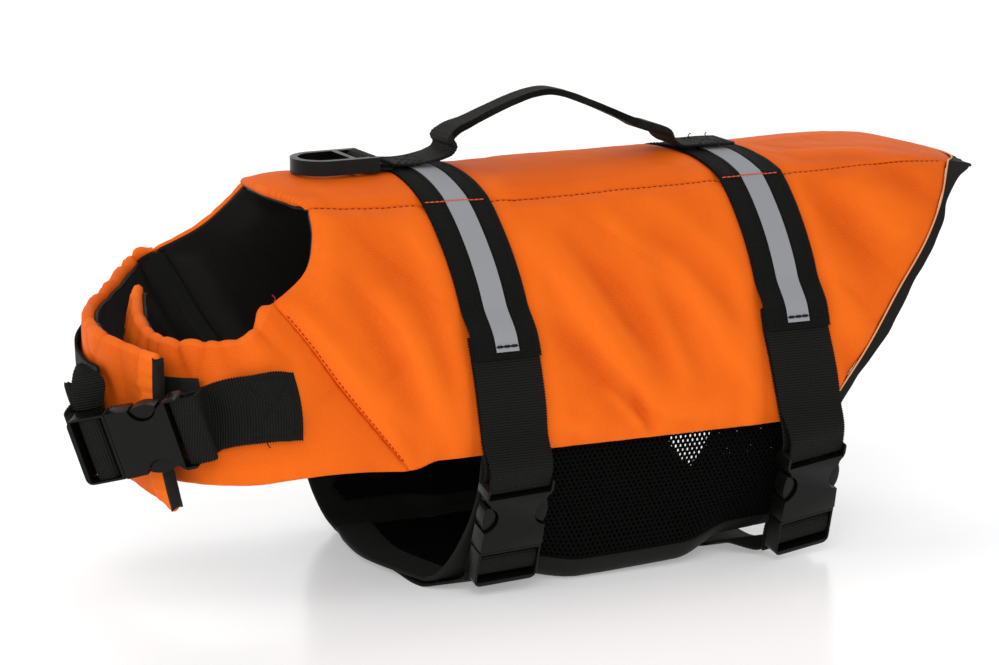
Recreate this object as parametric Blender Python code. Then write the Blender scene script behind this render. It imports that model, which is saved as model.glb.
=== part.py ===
"""Dog life jacket, size L, standing on its belly with its three buckles fastened.

All sizes and tables are in millimetres and turn into metres where a mesh is made. The head end
is toward -X, the tail end toward +X, and the dog's left, the side with the buckles, toward -Y.
Z is up and the ground is Z = 0. "Out" is a distance from the middle plane, on either side.
The tables share one frame. Where a mesh is made it is shifted by ORIGIN, so that the jacket's
origin is the middle of the underside of its box.
"""

import math
from collections import namedtuple

import bmesh
import bpy
import numpy as np
from mathutils import Matrix, Vector

MM = 0.001  # metres in a millimetre
ORIGIN = np.array([-11.577, -4.841, 0.0])  # the point of the tables' frame that becomes the origin
GAP = 0.3  # air between two pieces that touch on the real jacket
LEFT, RIGHT = -1, 1

# ---------------------------------------------------------------- driving sizes

WEBBING = 38.0  # width of the girth and chest webbing
WEBBING_THICK = 1.6
TAPE_WIDTH, TAPE_THICK = 13.0, 0.6  # reflective tape
HANDLE_WEBBING = 25.0  # width of the handle's webbing where it lies flat

FOAM = 8.0  # padded panel between its seams
FOAM_EDGE = 3.0  # the same panel where it is sewn
FOAM_REACH = 26.0  # distance from a seam at which the foam is full
LINING = 1.2
LINING_GAP = 0.45  # air between a panel and its lining
MESH_THICK = 2.0
BINDING_THICK = 2.8

HALF_BACK = 51.5  # girth from the middle of the back to the back seam
HEM = 198.0  # girth from the middle of the back to the hem
DIAGONAL_TOP = 103.0  # girth at which the seam of the neck flap starts
CROWN_POWER = 2.3  # how square the padded back is across
BACK_BOW = 22.0  # how far the tail edge of the back bows past its corners
NECK_BOW = 8.0  # how far the neck edge of the back bows past its corners
SEAM_HALF = 0.25  # half the air between two padded panels
BACK_ROWS = (14.5, 28, 40.5)  # girths at which the back's grid has rows
SIDE_ROWS = (64, 77, 90, 103, 119, 135, 151, 167, 182)
PANEL_COLUMNS = 20
FLAP_COLUMNS = 26
PUCKER = 22.0  # spacing of the gathers along a flap's rim

# ---------------------------------------------------------------- tables

Crest = namedtuple("Crest", "x up")
CREST = [
    Crest(-157, 214.0),
    Crest(-146, 217.0),
    Crest(-130, 218.0),
    Crest(-95, 218.0),
    Crest(-67, 217.0),
    Crest(-38, 216.0),
    Crest(0, 216.2),
    Crest(55, 216.0),
    Crest(88, 215.0),
    Crest(112, 213.8),
    Crest(138, 213.0),
    Crest(180, 212.2),
    Crest(231, 208.4),
    Crest(264, 202.5),
]

Seam = namedtuple("Seam", "x out up")  # the seam between back and side
BACK_SEAM = [
    Seam(-160, 44, 211.5),
    Seam(-120, 48, 208.5),
    Seam(-67, 50, 207),
    Seam(112, 50, 207),
    Seam(240, 49, 206.5),
    Seam(270, 46, 201),
]

Side = namedtuple("Side", "girth out up")  # cross-section below the seam
SIDE = [
    Side(51.5, 50, 207),
    Side(64.5, 60, 199),
    Side(78, 70, 189),
    Side(102, 84.5, 170),
    Side(135.5, 98, 140),
    Side(166, 105, 110),
    Side(198, 108, 78),
]
SEAM_REACH = 50.0  # girth over which the side follows the seam's wander

Edge = namedtuple("Edge", "girth x")
FRONT_EDGE = [
    Edge(51.5, -149),
    Edge(71, -154),
    Edge(90, -167),
    Edge(103, -187),
    Edge(127, -172),
    Edge(150, -158),
    Edge(174, -140),
    Edge(198, -121),
]
REAR_EDGE = [
    Edge(51.5, 240),
    Edge(83, 220),
    Edge(104, 204),
    Edge(130, 181),
    Edge(160, 157),
    Edge(180, 140),
    Edge(198, 126),
]

# Soft folds of the side panels: a crease from one point to another, as a height on the skin.
Fold = namedtuple("Fold", "x0 girth0 x1 girth1 half_width height")
FOLDS = {
    LEFT: [
        Fold(-35, 118, 45, 190, 20, -2.2),
        Fold(-30, 92, 85, 168, 22, 1.8),
        Fold(20, 76, 88, 112, 20, -1.6),
        Fold(-150, 120, -100, 176, 18, 2.0),
        Fold(150, 70, 168, 130, 18, -1.8),
    ],
    RIGHT: [
        Fold(-30, 110, 60, 182, 22, -2.0),
        Fold(10, 84, 90, 140, 20, 1.6),
        Fold(-152, 116, -104, 180, 18, 2.0),
        Fold(148, 78, 176, 126, 18, -1.6),
    ],
}

# Neck flap stations from the diagonal seam round the chest. "Out" is on the flap's own side, so
# it turns negative past the middle. The bulge is how far the middle of the band stands out.
Band = namedtuple("Band", "x_top out_top up_top x_low out_low up_low bulge")
FLAPS = {
    LEFT: [
        Band(-196, 90, 159, -152, 108, 80, 5.0),
        Band(-207, 93, 151.5, -182, 106, 79.5, 5.0),
        Band(-219, 88, 150, -205, 101, 77.5, 4.5),
        Band(-229, 77, 149, -222, 91, 77, 4.0),
        Band(-236, 60, 147, -234, 74, 76, 4.0),
        Band(-238, 35, 146, -240, 45, 74, 4.0),
        Band(-233, 5, 147, -238, 10, 72, 4.0),
        Band(-224, -25, 150, -230, -22, 72, 3.5),
        Band(-214, -44, 154, -219, -44, 74, 3.0),
    ],
    RIGHT: [
        Band(-195, 93, 162.5, -152, 108, 80, 5.0),
        Band(-205.5, 86.5, 159.5, -182, 106, 79, 4.0),
        Band(-217.5, 71.5, 156.5, -205, 96, 78, 3.0),
        Band(-234.5, 52.5, 152, -225.5, 71, 76, 2.5),
        Band(-249.5, 30.5, 149, -240.5, 39.5, 75, 2.0),
        Band(-259, 5, 147, -249, 8.5, 75, 2.0),
        Band(-262.5, -22, 145.5, -253, -20.5, 75, 2.5),
        Band(-258, -48, 143.5, -253, -49, 72, 3.0),
        Band(-250.5, -73, 142, -243.5, -79, 63.5, 4.0),
    ],
}

# Belly panel from the left hem round underneath to the right hem. "Across" runs with Y.
# Toward the tail the panel's lower part is drawn in and up by the last two columns.
Belly = namedtuple("Belly", "across up x_front x_rear band draw_in draw_up")
BELLY = [
    Belly(-96.6, 92, -70, 130, 9, 0, 0),
    Belly(-97, 78, -72, 128, 9, 0, 0),
    Belly(-95, 55, -74, 127, 9, 1, 1),
    Belly(-89, 33, -79, 125, 11, 3, 3),
    Belly(-80, 15, -85, 122, 15, 5, 6),
    Belly(-72.5, 7, -88, 120, 18, 6, 7),
    Belly(-62, 2.6, -90, 118, 20, 7, 8),
    Belly(-35, 2.3, -95, 116, 21, 4, 8),
    Belly(0, 2.3, -99, 114, 21, 0, 8),
    Belly(35, 2.3, -94, 116, 21, -4, 8),
    Belly(62, 2.6, -88, 118, 20, -7, 8),
    Belly(72.5, 7, -89, 120, 18, -6, 7),
    Belly(80, 15, -91, 122, 16, -5, 6),
    Belly(89, 33, -94, 125, 15, -3, 3),
    Belly(95, 55, -92, 127, 12, -1, 1),
    Belly(97, 78, -88, 128, 10, 0, 0),
    Belly(96.6, 92, -86, 130, 10, 0, 0),
]
REAR_BAND = 10.0
BELLY_COLUMNS = 7
LEFT_WING, LEFT_BAND, BASE, RIGHT_BAND, RIGHT_WING = (0, 4), (4, 6), (6, 10), (10, 12), (12, 16)

# Girth straps: the middle line's x at the back seam, at the upper strap's end, at the buckle and
# under the belly, and how much higher the strap runs where the belly panel is drawn up.
Strap = namedtuple("Strap", "name x_seam x_end x_buckle x_skew lift")
STRAPS = [
    Strap("front", -67, -63, -60.2, -73, 0),
    Strap("rear", 112, 112, 118.7, 98, 4),
]
STRAP_END = 145.5  # girth at which the upper strap ends
TAPE_END = 142.5
UNDER_STRAP = 12.0  # length of what is tucked under each end of the upper strap

# Where the belly strap runs, from below the left plug to below the right end of the upper strap.
# Skew is 1 where the strap lies at x_skew, lift is 1 where it has its whole lift.
Route = namedtuple("Route", "across up skew lift")
BELLY_ROUTE = [
    Route(-71.5, 3.6, 0.7, 1),
    Route(-62, 0.9, 1, 0.8),
    Route(-30, 0.8, 1, 0.1),
    Route(0, 0.8, 0.8, 0),
    Route(30, 0.8, 0.6, 0),
    Route(62, 0.9, 0.4, 0),
    Route(74.8, 4.6, 0.3, 0),
    Route(83, 14, 0.25, 0),
    Route(92.2, 32, 0.15, 0),
    Route(99, 55, 0.1, 0),
    Route(105.5, 69, 0.05, 0),
    Route(109.6, 79, 0, 0),
]

# Buckles: centre, direction from socket to plug, and the side that faces out.
Buckle = namedtuple("Buckle", "name centre along outward")
BUCKLES = [
    Buckle("front", (-60.0, -101.0, 37.0), (0.02, 0.365, -0.93), (0.05, -0.931, -0.365)),
    Buckle("rear", (119.6, -101.2, 35.4), (0.03, 0.32, -0.945), (0.18, -0.945, -0.32)),
    Buckle("chest", (-263.2, -77.6, 102.1), (-0.71, 0.655, -0.245), (-0.62, -0.75, -0.22)),
]
SOCKET_WIDTH, SOCKET_THICK = 40.0, 11.0
PLUG_WIDTH, PLUG_THICK = 37.4, 10.4
SOCKET_TOP, SOCKET_END, PLUG_END = 33.0, -8.6, -31.0  # along the buckle, from its centre
SOCKET_SLOT, PLUG_SLOT = 37.0, 34.8  # widths of the openings for the webbing
SOCKET_WEBBING, PLUG_WEBBING = 36.2, 34.0  # widths of the webbing squeezed through them
SOCKET_BAR = 2.0  # half the thickness of the bar in the socket's slot
BUTTON_AT = 12.2  # middle of the side buttons along the buckle

# D-ring: it lies flat and turns on the round bar inside its webbing loop.
RING_AXIS_X, RING_AXIS_UP = -98.0, 223.0
RING_LENGTH, RING_WIDTH, RING_HEIGHT, RING_WALL = 44.0, 34.0, 8.0, 4.2
RING_BAR = 2.3  # radius of the bar
RING_SLOT = 7.2  # gap between the bar and the crossbar
RING_CROSSBAR = 3.4

# Handle, from its front end to its tail end, along the middle of the back.
Grip = namedtuple("Grip", "x up width thick")
HANDLE = [
    Grip(-86, 221.4, 25, 1.6),
    Grip(-64, 221.4, 25, 1.6),
    Grip(-54, 222.6, 25, 1.8),
    Grip(-48.8, 225.8, 25, 2.4),
    Grip(-46.6, 229.6, 25, 3.0),
    Grip(-47.4, 233.4, 23, 3.4),
    Grip(-44, 236.6, 20, 3.6),
    Grip(-34, 240.4, 15, 3.6),
    Grip(-22, 245.0, 13, 3.6),
    Grip(-9.5, 249.6, 12.5, 3.6),
    Grip(2, 252.8, 12.5, 3.6),
    Grip(11.5, 253.6, 12.5, 3.6),
    Grip(22, 251.4, 12.5, 3.6),
    Grip(36, 245.9, 12.5, 3.6),
    Grip(53, 238.4, 12.5, 3.6),
    Grip(66, 232.3, 14, 3.8),
    Grip(76, 228.2, 18, 4.0),
    Grip(84, 226.2, 22, 3.6),
    Grip(89.4, 224.6, 25, 2.8),
    Grip(92.2, 221.2, 25, 2.0),
    Grip(97, 218.0, 25, 1.6),
    Grip(112, 218.1, 25, 1.6),
    Grip(129, 217.2, 25, 1.6),
    Grip(140, 215.6, 25, 1.6),
]

# ---------------------------------------------------------------- materials

Look = namedtuple("Look", "colour roughness")
LOOKS = {
    "orange_cloth": Look((0.86, 0.16, 0.01), 0.55),
    "black_lining": Look((0.012, 0.012, 0.013), 0.6),
    "black_mesh": Look((0.015, 0.015, 0.015), 0.8),
    "black_binding": Look((0.02, 0.02, 0.02), 0.7),
    "black_webbing": Look((0.018, 0.018, 0.018), 0.75),
    "reflective_tape": Look((0.33, 0.33, 0.37), 0.4),
    "black_plastic": Look((0.02, 0.02, 0.02), 0.35),
}


def material(name):
    """Return the named material, made on first use."""
    if name in bpy.data.materials:
        return bpy.data.materials[name]
    made = bpy.data.materials.new(name)
    made.use_nodes = True
    shader = made.node_tree.nodes["Principled BSDF"]
    shader.inputs["Base Color"].default_value = (*LOOKS[name].colour, 1.0)
    shader.inputs["Roughness"].default_value = LOOKS[name].roughness
    shader.inputs["Metallic"].default_value = 0.0
    return made


# ---------------------------------------------------------------- curves and surfaces


def column(table, name):
    """One named column of a table as an array."""
    return np.array([getattr(row, name) for row in table], float)


def smooth(at, stations, values):
    """Read a smooth curve through a table's rows at `at`. The ends go on straight."""
    slopes = np.gradient(values, stations)
    at = np.asarray(at, float)
    inside = np.clip(at, stations[0], stations[-1])
    i = np.clip(np.searchsorted(stations, inside, side="right") - 1, 0, len(stations) - 2)
    width = stations[i + 1] - stations[i]
    t = (inside - stations[i]) / width
    rise = values[i + 1] - values[i]
    bend = (slopes[i] * width - rise) * (1 - t) - (slopes[i + 1] * width - rise) * t
    past = np.where(at < stations[0], slopes[0], slopes[-1]) * (at - inside)
    return values[i] + rise * t + t * (1 - t) * bend + past


def read(table, at, by, wanted):
    """Read column `wanted` of a table along its column `by`."""
    return smooth(at, column(table, by), column(table, wanted))


def ramp(distance, reach):
    """Go smoothly from 0 at no distance to 1 at `reach`."""
    t = np.clip(np.asarray(distance, float) / reach, 0, 1)
    return t * t * (3 - 2 * t)


def unit(vectors):
    """Scale vectors to length 1."""
    return vectors / np.linalg.norm(vectors, axis=-1, keepdims=True)


def torso(x, girth):
    """Skin of the padded body at x and at a signed girth, negative on the left."""
    x, girth = np.broadcast_arrays(np.asarray(x, float), np.asarray(girth, float))
    down = np.abs(girth)
    seam_out = read(BACK_SEAM, x, "x", "out")
    seam_up = read(BACK_SEAM, x, "x", "up")
    share = np.minimum(down / HALF_BACK, 1)
    crown = (read(CREST, x, "x", "up") - seam_up) * (1 - share**CROWN_POWER)
    follow = 1 - ramp(down - HALF_BACK, SEAM_REACH)
    side_out = read(SIDE, down, "girth", "out") + (seam_out - SIDE[0].out) * follow
    side_up = read(SIDE, down, "girth", "up") + (seam_up - SIDE[0].up) * follow
    on_back = down < HALF_BACK
    out = np.where(on_back, seam_out * share, side_out)
    up = np.where(on_back, seam_up + crown, side_up)
    return np.stack([x, np.sign(girth) * out, up], axis=-1)


def torso_outward(x, girth):
    """Unit normal of the body's skin."""
    step = 1.5
    along = torso(x + step, girth) - torso(x - step, girth)
    around = torso(x, girth + step) - torso(x, girth - step)
    return unit(np.cross(along, around))


def front_x(girth):
    """X of the body's front edge: neck edge, then diagonal seam."""
    down = np.abs(girth)
    neck = FRONT_EDGE[0].x - NECK_BOW * (1 - (down / HALF_BACK) ** 2)
    below = [row for row in FRONT_EDGE if row.girth >= DIAGONAL_TOP]
    above = [row for row in FRONT_EDGE if row.girth <= DIAGONAL_TOP]
    side = np.where(
        down > DIAGONAL_TOP, read(below, down, "girth", "x"), read(above, down, "girth", "x")
    )
    return np.where(down < HALF_BACK, neck, side)


def rear_x(girth):
    """X of the body's rear edge."""
    down = np.abs(girth)
    back = REAR_EDGE[0].x + BACK_BOW * (1 - (down / HALF_BACK) ** 2)
    return np.where(down < HALF_BACK, back, read(REAR_EDGE, down, "girth", "x"))


def fold_relief(x, girth, side):
    """Height of the soft folds of one side panel."""
    height = np.zeros(np.broadcast(x, girth).shape)
    down = np.abs(girth)
    for fold in FOLDS[side]:
        start = np.array([fold.x0, fold.girth0], float)
        run = np.array([fold.x1, fold.girth1], float) - start
        length = np.hypot(*run)
        dx, dg = x - start[0], down - start[1]
        along = (dx * run[0] + dg * run[1]) / length**2
        off = (dx * run[1] - dg * run[0]) / length
        ends = np.clip(1 - (2 * along - 1) ** 2, 0, 1)
        height = height + fold.height * ends * np.clip(1 - (off / fold.half_width) ** 2, 0, 1)
    return height


def edge_distances(points):
    """Distances of a grid's points from its first row, last row, first and last column."""
    down = np.cumsum(np.linalg.norm(np.diff(points, axis=0), axis=2), axis=0)
    down = np.concatenate([np.zeros((1, points.shape[1])), down])
    along = np.cumsum(np.linalg.norm(np.diff(points, axis=1), axis=2), axis=1)
    along = np.concatenate([np.zeros((points.shape[0], 1)), along], axis=1)
    return down, down[-1:] - down, along, along[:, -1:] - along


Hem = namedtuple("Hem", "thick dip")  # a panel's edge: thickness there, and how far its skin dips
SEWN = Hem(FOAM_EDGE, 1.6)
ROLLED = Hem(5.5, 0.6)
RIM = Hem(7.5, 0.4)
DIP_REACH = 11.0


def padded(points, outward, hems, relief=0.0):
    """Skin and inner face of a padded panel, which is thin and dips at its sewn edges."""
    thick = np.full(points.shape[:2], FOAM)
    dip = np.zeros(points.shape[:2])
    for distance, hem in zip(edge_distances(points), hems):
        grown = hem.thick + (FOAM - hem.thick) * ramp(distance, FOAM_REACH)
        thick = np.minimum(thick, grown)
        dip = np.maximum(dip, hem.dip * (1 - ramp(distance, DIP_REACH)))
    skin = points + outward * (relief - dip)[..., None]
    inner = points - outward * (thick + dip * 0.5)[..., None]
    return skin, inner


# ---------------------------------------------------------------- solids


def make(name, points, faces, look):
    """Make one named object from points in millimetres."""
    mesh = bpy.data.meshes.new(name)
    mesh.from_pydata(((np.asarray(points) - ORIGIN) * MM).tolist(), [], faces)
    grown = bmesh.new()
    grown.from_mesh(mesh)
    bmesh.ops.recalc_face_normals(grown, faces=grown.faces)
    grown.to_mesh(mesh)
    grown.free()
    mesh.materials.append(material(look))
    made = bpy.data.objects.new(name, mesh)
    bpy.context.scene.collection.objects.link(made)
    return made


def wall(name, outer, inner, look):
    """Make a closed wall between two grids of points of the same size."""
    rows, cols = outer.shape[:2]
    count = rows * cols
    index = np.arange(count).reshape(rows, cols)
    faces = []
    for i in range(rows - 1):
        for j in range(cols - 1):
            a, b, c, d = index[i, j], index[i, j + 1], index[i + 1, j + 1], index[i + 1, j]
            for corners in ((a, b, c), (a, c, d)):
                faces.append([int(k) for k in corners])
                faces.append([int(k) + count for k in reversed(corners)])
    rim = [*index[0, :], *index[1:, -1], *index[-1, -2::-1], *index[-2:0:-1, 0]]
    for a, b in zip(rim, rim[1:] + rim[:1]):
        faces.append([int(b), int(a), int(a) + count, int(b) + count])
    return make(name, np.concatenate([outer.reshape(-1, 3), inner.reshape(-1, 3)]), faces, look)


def strip(name, rails, thick, look):
    """Make a ribbon of even or given thickness through two or more rails of points."""
    middle = np.stack([np.asarray(rail, float) for rail in rails], axis=1)
    facing = unit(np.cross(np.gradient(middle, axis=0), np.gradient(middle, axis=1)))
    half = facing * (np.broadcast_to(thick, (len(middle),)) / 2)[:, None, None]
    return wall(name, middle + half, middle - half, look)


def ribbon(name, path, across, width, thick, look):
    """Make a ribbon along a path of middle points."""
    path = np.asarray(path, float)
    reach = unit(np.broadcast_to(np.asarray(across, float), path.shape)) / 2
    reach = reach * np.broadcast_to(width, (len(path),))[:, None]
    return strip(name, (path - reach, path + reach), thick, look)


def prism(outline, low, high):
    """Return a mesh datablock: an outline in X and Y extruded from low to high."""
    grown = bmesh.new()
    ring = [grown.verts.new((x * MM, y * MM, low * MM)) for x, y in outline]
    base = grown.faces.new(ring)
    pushed = bmesh.ops.extrude_face_region(grown, geom=[base])["geom"]
    moved = [part for part in pushed if isinstance(part, bmesh.types.BMVert)]
    bmesh.ops.translate(grown, verts=moved, vec=(0, 0, (high - low) * MM))
    bmesh.ops.recalc_face_normals(grown, faces=grown.faces)
    mesh = bpy.data.meshes.new("prism")
    grown.to_mesh(mesh)
    grown.free()
    return mesh


def rod(radius, start, end, sides=12):
    """Return a mesh datablock: a round bar between two points."""
    start, end = Vector(start) * MM, Vector(end) * MM
    turn = (end - start).to_track_quat("Z", "Y").to_matrix().to_4x4()
    grown = bmesh.new()
    bmesh.ops.create_cone(
        grown,
        cap_ends=True,
        segments=sides,
        radius1=radius * MM,
        radius2=radius * MM,
        depth=(end - start).length,
        matrix=Matrix.Translation((start + end) / 2) @ turn,
    )
    mesh = bpy.data.meshes.new("rod")
    grown.to_mesh(mesh)
    grown.free()
    return mesh


def carve(body, tools, operation):
    """Join or cut a mesh with others and return the result as a new mesh."""
    target = bpy.data.objects.new("body", body)
    bpy.context.scene.collection.objects.link(target)
    helpers = []
    for tool in tools:
        helper = bpy.data.objects.new("tool", tool)
        bpy.context.scene.collection.objects.link(helper)
        cut = target.modifiers.new("cut", "BOOLEAN")
        cut.operation = operation
        cut.solver = "EXACT"
        cut.object = helper
        helpers.append(helper)
    evaluated = target.evaluated_get(bpy.context.evaluated_depsgraph_get())
    result = bpy.data.meshes.new_from_object(evaluated)
    for helper in [target, *helpers]:
        bpy.data.objects.remove(helper)
    return result


def soften(mesh, width, angle=40.0):
    """Bevel a mesh's sharp outer edges by one flat."""
    grown = bmesh.new()
    grown.from_mesh(mesh)
    sharp = [
        edge
        for edge in grown.edges
        if edge.is_convex and edge.calc_face_angle() > math.radians(angle)
    ]
    bmesh.ops.bevel(
        grown, geom=sharp, offset=width * MM, segments=1, affect="EDGES", clamp_overlap=True
    )
    grown.to_mesh(mesh)
    grown.free()


def place(name, mesh, look, matrix):
    """Make an object of a mesh that was built in its own frame."""
    mesh.materials.clear()
    mesh.materials.append(material(look))
    made = bpy.data.objects.new(name, mesh)
    made.matrix_world = Matrix.Translation(Vector(-ORIGIN) * MM) @ matrix
    bpy.context.scene.collection.objects.link(made)
    return made


# ---------------------------------------------------------------- padded panels and their lining


def panel(name, lining_name, points, outward, hems, relief=0.0):
    """Make a padded panel and the lining on its inner face."""
    skin, inner = padded(points, outward, hems, relief)
    wall(name, skin, inner, "orange_cloth")
    lining_out = inner - outward * LINING_GAP
    wall(lining_name, lining_out, lining_out - outward * LINING, "black_lining")
    return skin


def body_grid(girths):
    """Points and normals of the body's skin on rows of girth, from front edge to rear edge."""
    girths = np.asarray(girths, float)[:, None]
    share = np.linspace(0, 1, PANEL_COLUMNS + 1)[None, :]
    front = front_x(girths) + SEAM_HALF
    x = front + (rear_x(girths) - front) * share
    at_seam = np.abs(np.abs(girths) - HALF_BACK) < 1
    lean = torso_outward(x, np.where(at_seam, np.sign(girths) * HALF_BACK, girths))
    return x, torso(x, girths), lean


def back():
    """Make the padded back panel."""
    rows = np.array([*BACK_ROWS, HALF_BACK - SEAM_HALF])
    girths = np.concatenate([-rows[::-1], [0], rows])
    x, points, outward = body_grid(girths)
    outward[len(rows), :, 1] = 0
    relief = 0.8 * np.sin(x / 21.0) * np.cos(girths[:, None] / 34.0)
    relief = relief * ramp(np.abs(x - STRAPS[0].x_seam) - WEBBING / 2, 16)
    relief = relief * ramp(np.abs(x - STRAPS[1].x_seam) - WEBBING / 2, 16)
    relief = relief * ramp(x + 75, 30)
    panel("back_panel", "back_lining", points, outward, (SEWN, SEWN, ROLLED, SEWN), relief)


def side(which, word):
    """Make one padded side panel."""
    rows = np.array([HALF_BACK + SEAM_HALF, *SIDE_ROWS, HEM])
    girths = rows if which == RIGHT else -rows[::-1]
    x, points, outward = body_grid(girths)
    relief = fold_relief(x, girths[:, None], which)
    for strap in STRAPS:
        clear = np.abs(x - strap.x_end) - WEBBING / 2 - 4
        relief = relief * ramp(clear, 16)
    seam_then_hem = (SEWN, Hem(FOAM_EDGE, 0.8)) if which == RIGHT else (Hem(FOAM_EDGE, 0.8), SEWN)
    hems = (*seam_then_hem, SEWN, SEWN)
    panel(f"side_panel_{word}", f"side_lining_{word}", points, outward, hems, relief)


def flap_surface(which, shares):
    """Points and normals of a neck flap's skin at shares of its length, on seven rows."""
    heights = np.linspace(0, 1, 7)
    girths = which * (DIAGONAL_TOP + heights * (HEM - DIAGONAL_TOP))
    seam_x = front_x(girths) - SEAM_HALF
    stations = [torso(seam_x, girths)]
    for row in FLAPS[which]:
        top = np.array([row.x_top, which * row.out_top, row.up_top], float)
        low = np.array([row.x_low, which * row.out_low, row.up_low], float)
        stations.append(top + (low - top) * heights[:, None])
    stations = np.array(stations)
    plan = np.gradient(stations, axis=0)
    facing = np.cross(plan, stations[:, -1:] - stations[:, :1]) * -which
    bulge = np.array([0.0] + [row.bulge for row in FLAPS[which]])
    swell = 4 * heights * (1 - heights)
    stations = stations + unit(facing) * (bulge[:, None] * swell)[..., None]
    steps = np.linalg.norm(np.diff(stations.mean(axis=1), axis=0), axis=1)
    length = np.concatenate([[0], np.cumsum(steps)])
    at = np.asarray(shares, float) * length[-1]
    points = np.array([[smooth(at, length, stations[:, r, k]) for k in range(3)] for r in range(7)])
    points = points.transpose(0, 2, 1)
    along = np.gradient(points, axis=1)
    down = np.gradient(points, axis=0)
    outward = unit(np.cross(along, down)) * -which
    starts = np.isclose(at, 0)
    outward[:, starts] = torso_outward(seam_x, girths)[:, None]
    return points, outward, at


def neck_flap(which, word):
    """Make one padded neck flap, with gathers along its rim."""
    points, outward, at = flap_surface(which, np.linspace(0, 1, FLAP_COLUMNS + 1))
    wander = at / PUCKER + 0.35 * np.sin(at / 37.0)
    gathers = 1.3 * np.cos(2 * math.pi * wander) * ramp(at, 40)
    from_top = edge_distances(points)[0]
    relief = gathers[None, :] * (1 - ramp(from_top, 24))
    hems = (RIM, Hem(5.0, 1.0), SEWN, Hem(5.0, 1.0))
    skin = panel(f"neck_flap_{word}", f"flap_lining_{word}", points, outward, hems, relief)
    return skin, points, outward


def flap_end(skin, points, outward):
    """Make the black edge that closes the end of the outer flap."""
    forward = unit(points[:, -1] - points[:, -2])
    depth = 5.0 + LINING_GAP + LINING
    near = skin[:, -1] + forward * 2 * SEAM_HALF
    far = points[:, -1] - outward[:, -1] * depth + forward * 2 * SEAM_HALF
    outer = np.stack([near + forward * 1.8, far + forward * 1.8], axis=1)
    inner = np.stack([near, far], axis=1)
    wall("flap_edge_right", outer, inner, "black_binding")


def rear_binding():
    """Make the black binding that frames the tail edge from hem to hem."""
    rows = np.array([*BACK_ROWS, HALF_BACK, *SIDE_ROWS, HEM])
    girths = np.concatenate([-rows[::-1], [0], rows])[:, None]
    wave = 1.5 * np.sin(girths / 13.0) + 8.0
    start = rear_x(girths) + 0.8
    x = start + wave * np.array([[0.0, 0.5, 1.0]])
    points = torso(x, girths)
    outward = torso_outward(x, girths)
    outward[len(rows), :, 1] = 0
    drop = np.array([1.9, 2.1, 2.9])[None, :, None]
    outer = points - outward * drop
    wall("rear_binding", outer, outer - outward * 1.8, "black_binding")


# ---------------------------------------------------------------- belly panel


def belly_surface(rows, x_shares, start, end):
    """Points and inward normals of the belly's outer face between two x limits."""
    first, last = rows
    across, up = column(BELLY, "across"), column(BELLY, "up")
    draw_in, draw_up = column(BELLY, "draw_in"), column(BELLY, "draw_up")
    x_front, x_rear = column(BELLY, "x_front"), column(BELLY, "x_rear")
    x = start[:, None] + (end - start)[:, None] * x_shares[None, :]
    toward_tail = ((x - x_front[:, None]) / (x_rear - x_front)[:, None]).clip(0, 1) ** 2
    points = np.stack(
        [
            x,
            across[:, None] + draw_in[:, None] * toward_tail,
            up[:, None] + draw_up[:, None] * toward_tail,
        ],
        axis=-1,
    )
    along = np.gradient(points, axis=1)
    around = np.gradient(points, axis=0)
    inward = unit(np.cross(along, around))
    return points[first : last + 1], inward[first : last + 1]


def belly_piece(name, rows, start, end, columns, thick, look, lift=0.0):
    """Make one piece of the belly panel, parted from the next piece by the seam gap."""
    points, inward = belly_surface(rows, np.linspace(0, 1, columns + 1), start, end)
    points = points.copy()
    for edge, inner, at_hem in ((0, 1, rows[0] == 0), (-1, -2, rows[1] == len(BELLY) - 1)):
        if not at_hem:
            points[edge] += unit(points[inner] - points[edge]) * GAP / 2
    outer = points + inward * lift
    wall(name, outer, outer + inward * thick, look)


def belly():
    """Make the belly panel: base, wings and the bindings round and along it."""
    front, rear = column(BELLY, "x_front"), column(BELLY, "x_rear")
    band = column(BELLY, "band")
    whole = (0, len(BELLY) - 1)
    belly_piece("belly_binding_front", whole, front, front + band, 2, BINDING_THICK, "black_binding")
    belly_piece("belly_binding_rear", whole, rear - REAR_BAND, rear, 1, BINDING_THICK, "black_binding")
    start, end = front + band + 2 * SEAM_HALF, rear - REAR_BAND - 2 * SEAM_HALF
    for name, rows, thick, look in (
        ("belly_wing_left", LEFT_WING, MESH_THICK, "black_mesh"),
        ("belly_binding_left", LEFT_BAND, BINDING_THICK, "black_binding"),
        ("belly_base", BASE, MESH_THICK, "black_mesh"),
        ("belly_binding_right", RIGHT_BAND, BINDING_THICK, "black_binding"),
        ("belly_wing_right", RIGHT_WING, MESH_THICK, "black_mesh"),
    ):
        belly_piece(name, rows, start, end, BELLY_COLUMNS, thick, look)


# ---------------------------------------------------------------- webbing


def strap_height(girth):
    """Height of the upper strap's lower face: raised where other webbing is tucked under it."""
    return np.interp(girth, [-134, -120, 120, 134], [4.5, 0.5, 0.5, 2.5])


def strap_x(strap, girth):
    """X of a strap's middle line over the back and sides."""
    share = np.clip((np.abs(girth) - HALF_BACK) / (STRAP_END - HALF_BACK), 0, 1)
    return strap.x_seam + (strap.x_end - strap.x_seam) * share


def over_back(name, strap, end, offsets, low, high, look):
    """Make a band over the back from side to side, between two heights over the skin."""
    rows = np.array([13, 26, 39, HALF_BACK, 64, 77, 90, 103, 120, 134, end])
    girths = np.concatenate([-rows[::-1], [0], rows])[:, None]
    middle = strap_x(strap, girths)
    x = middle + np.array([offsets])
    points = torso(x, girths)
    outward = torso_outward(middle + 0 * x, girths)
    outward[len(rows), :, 1] = 0
    base = strap_height(girths)[..., None]
    wall(name, points + outward * (base + high), points + outward * (base + low), look)


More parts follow.
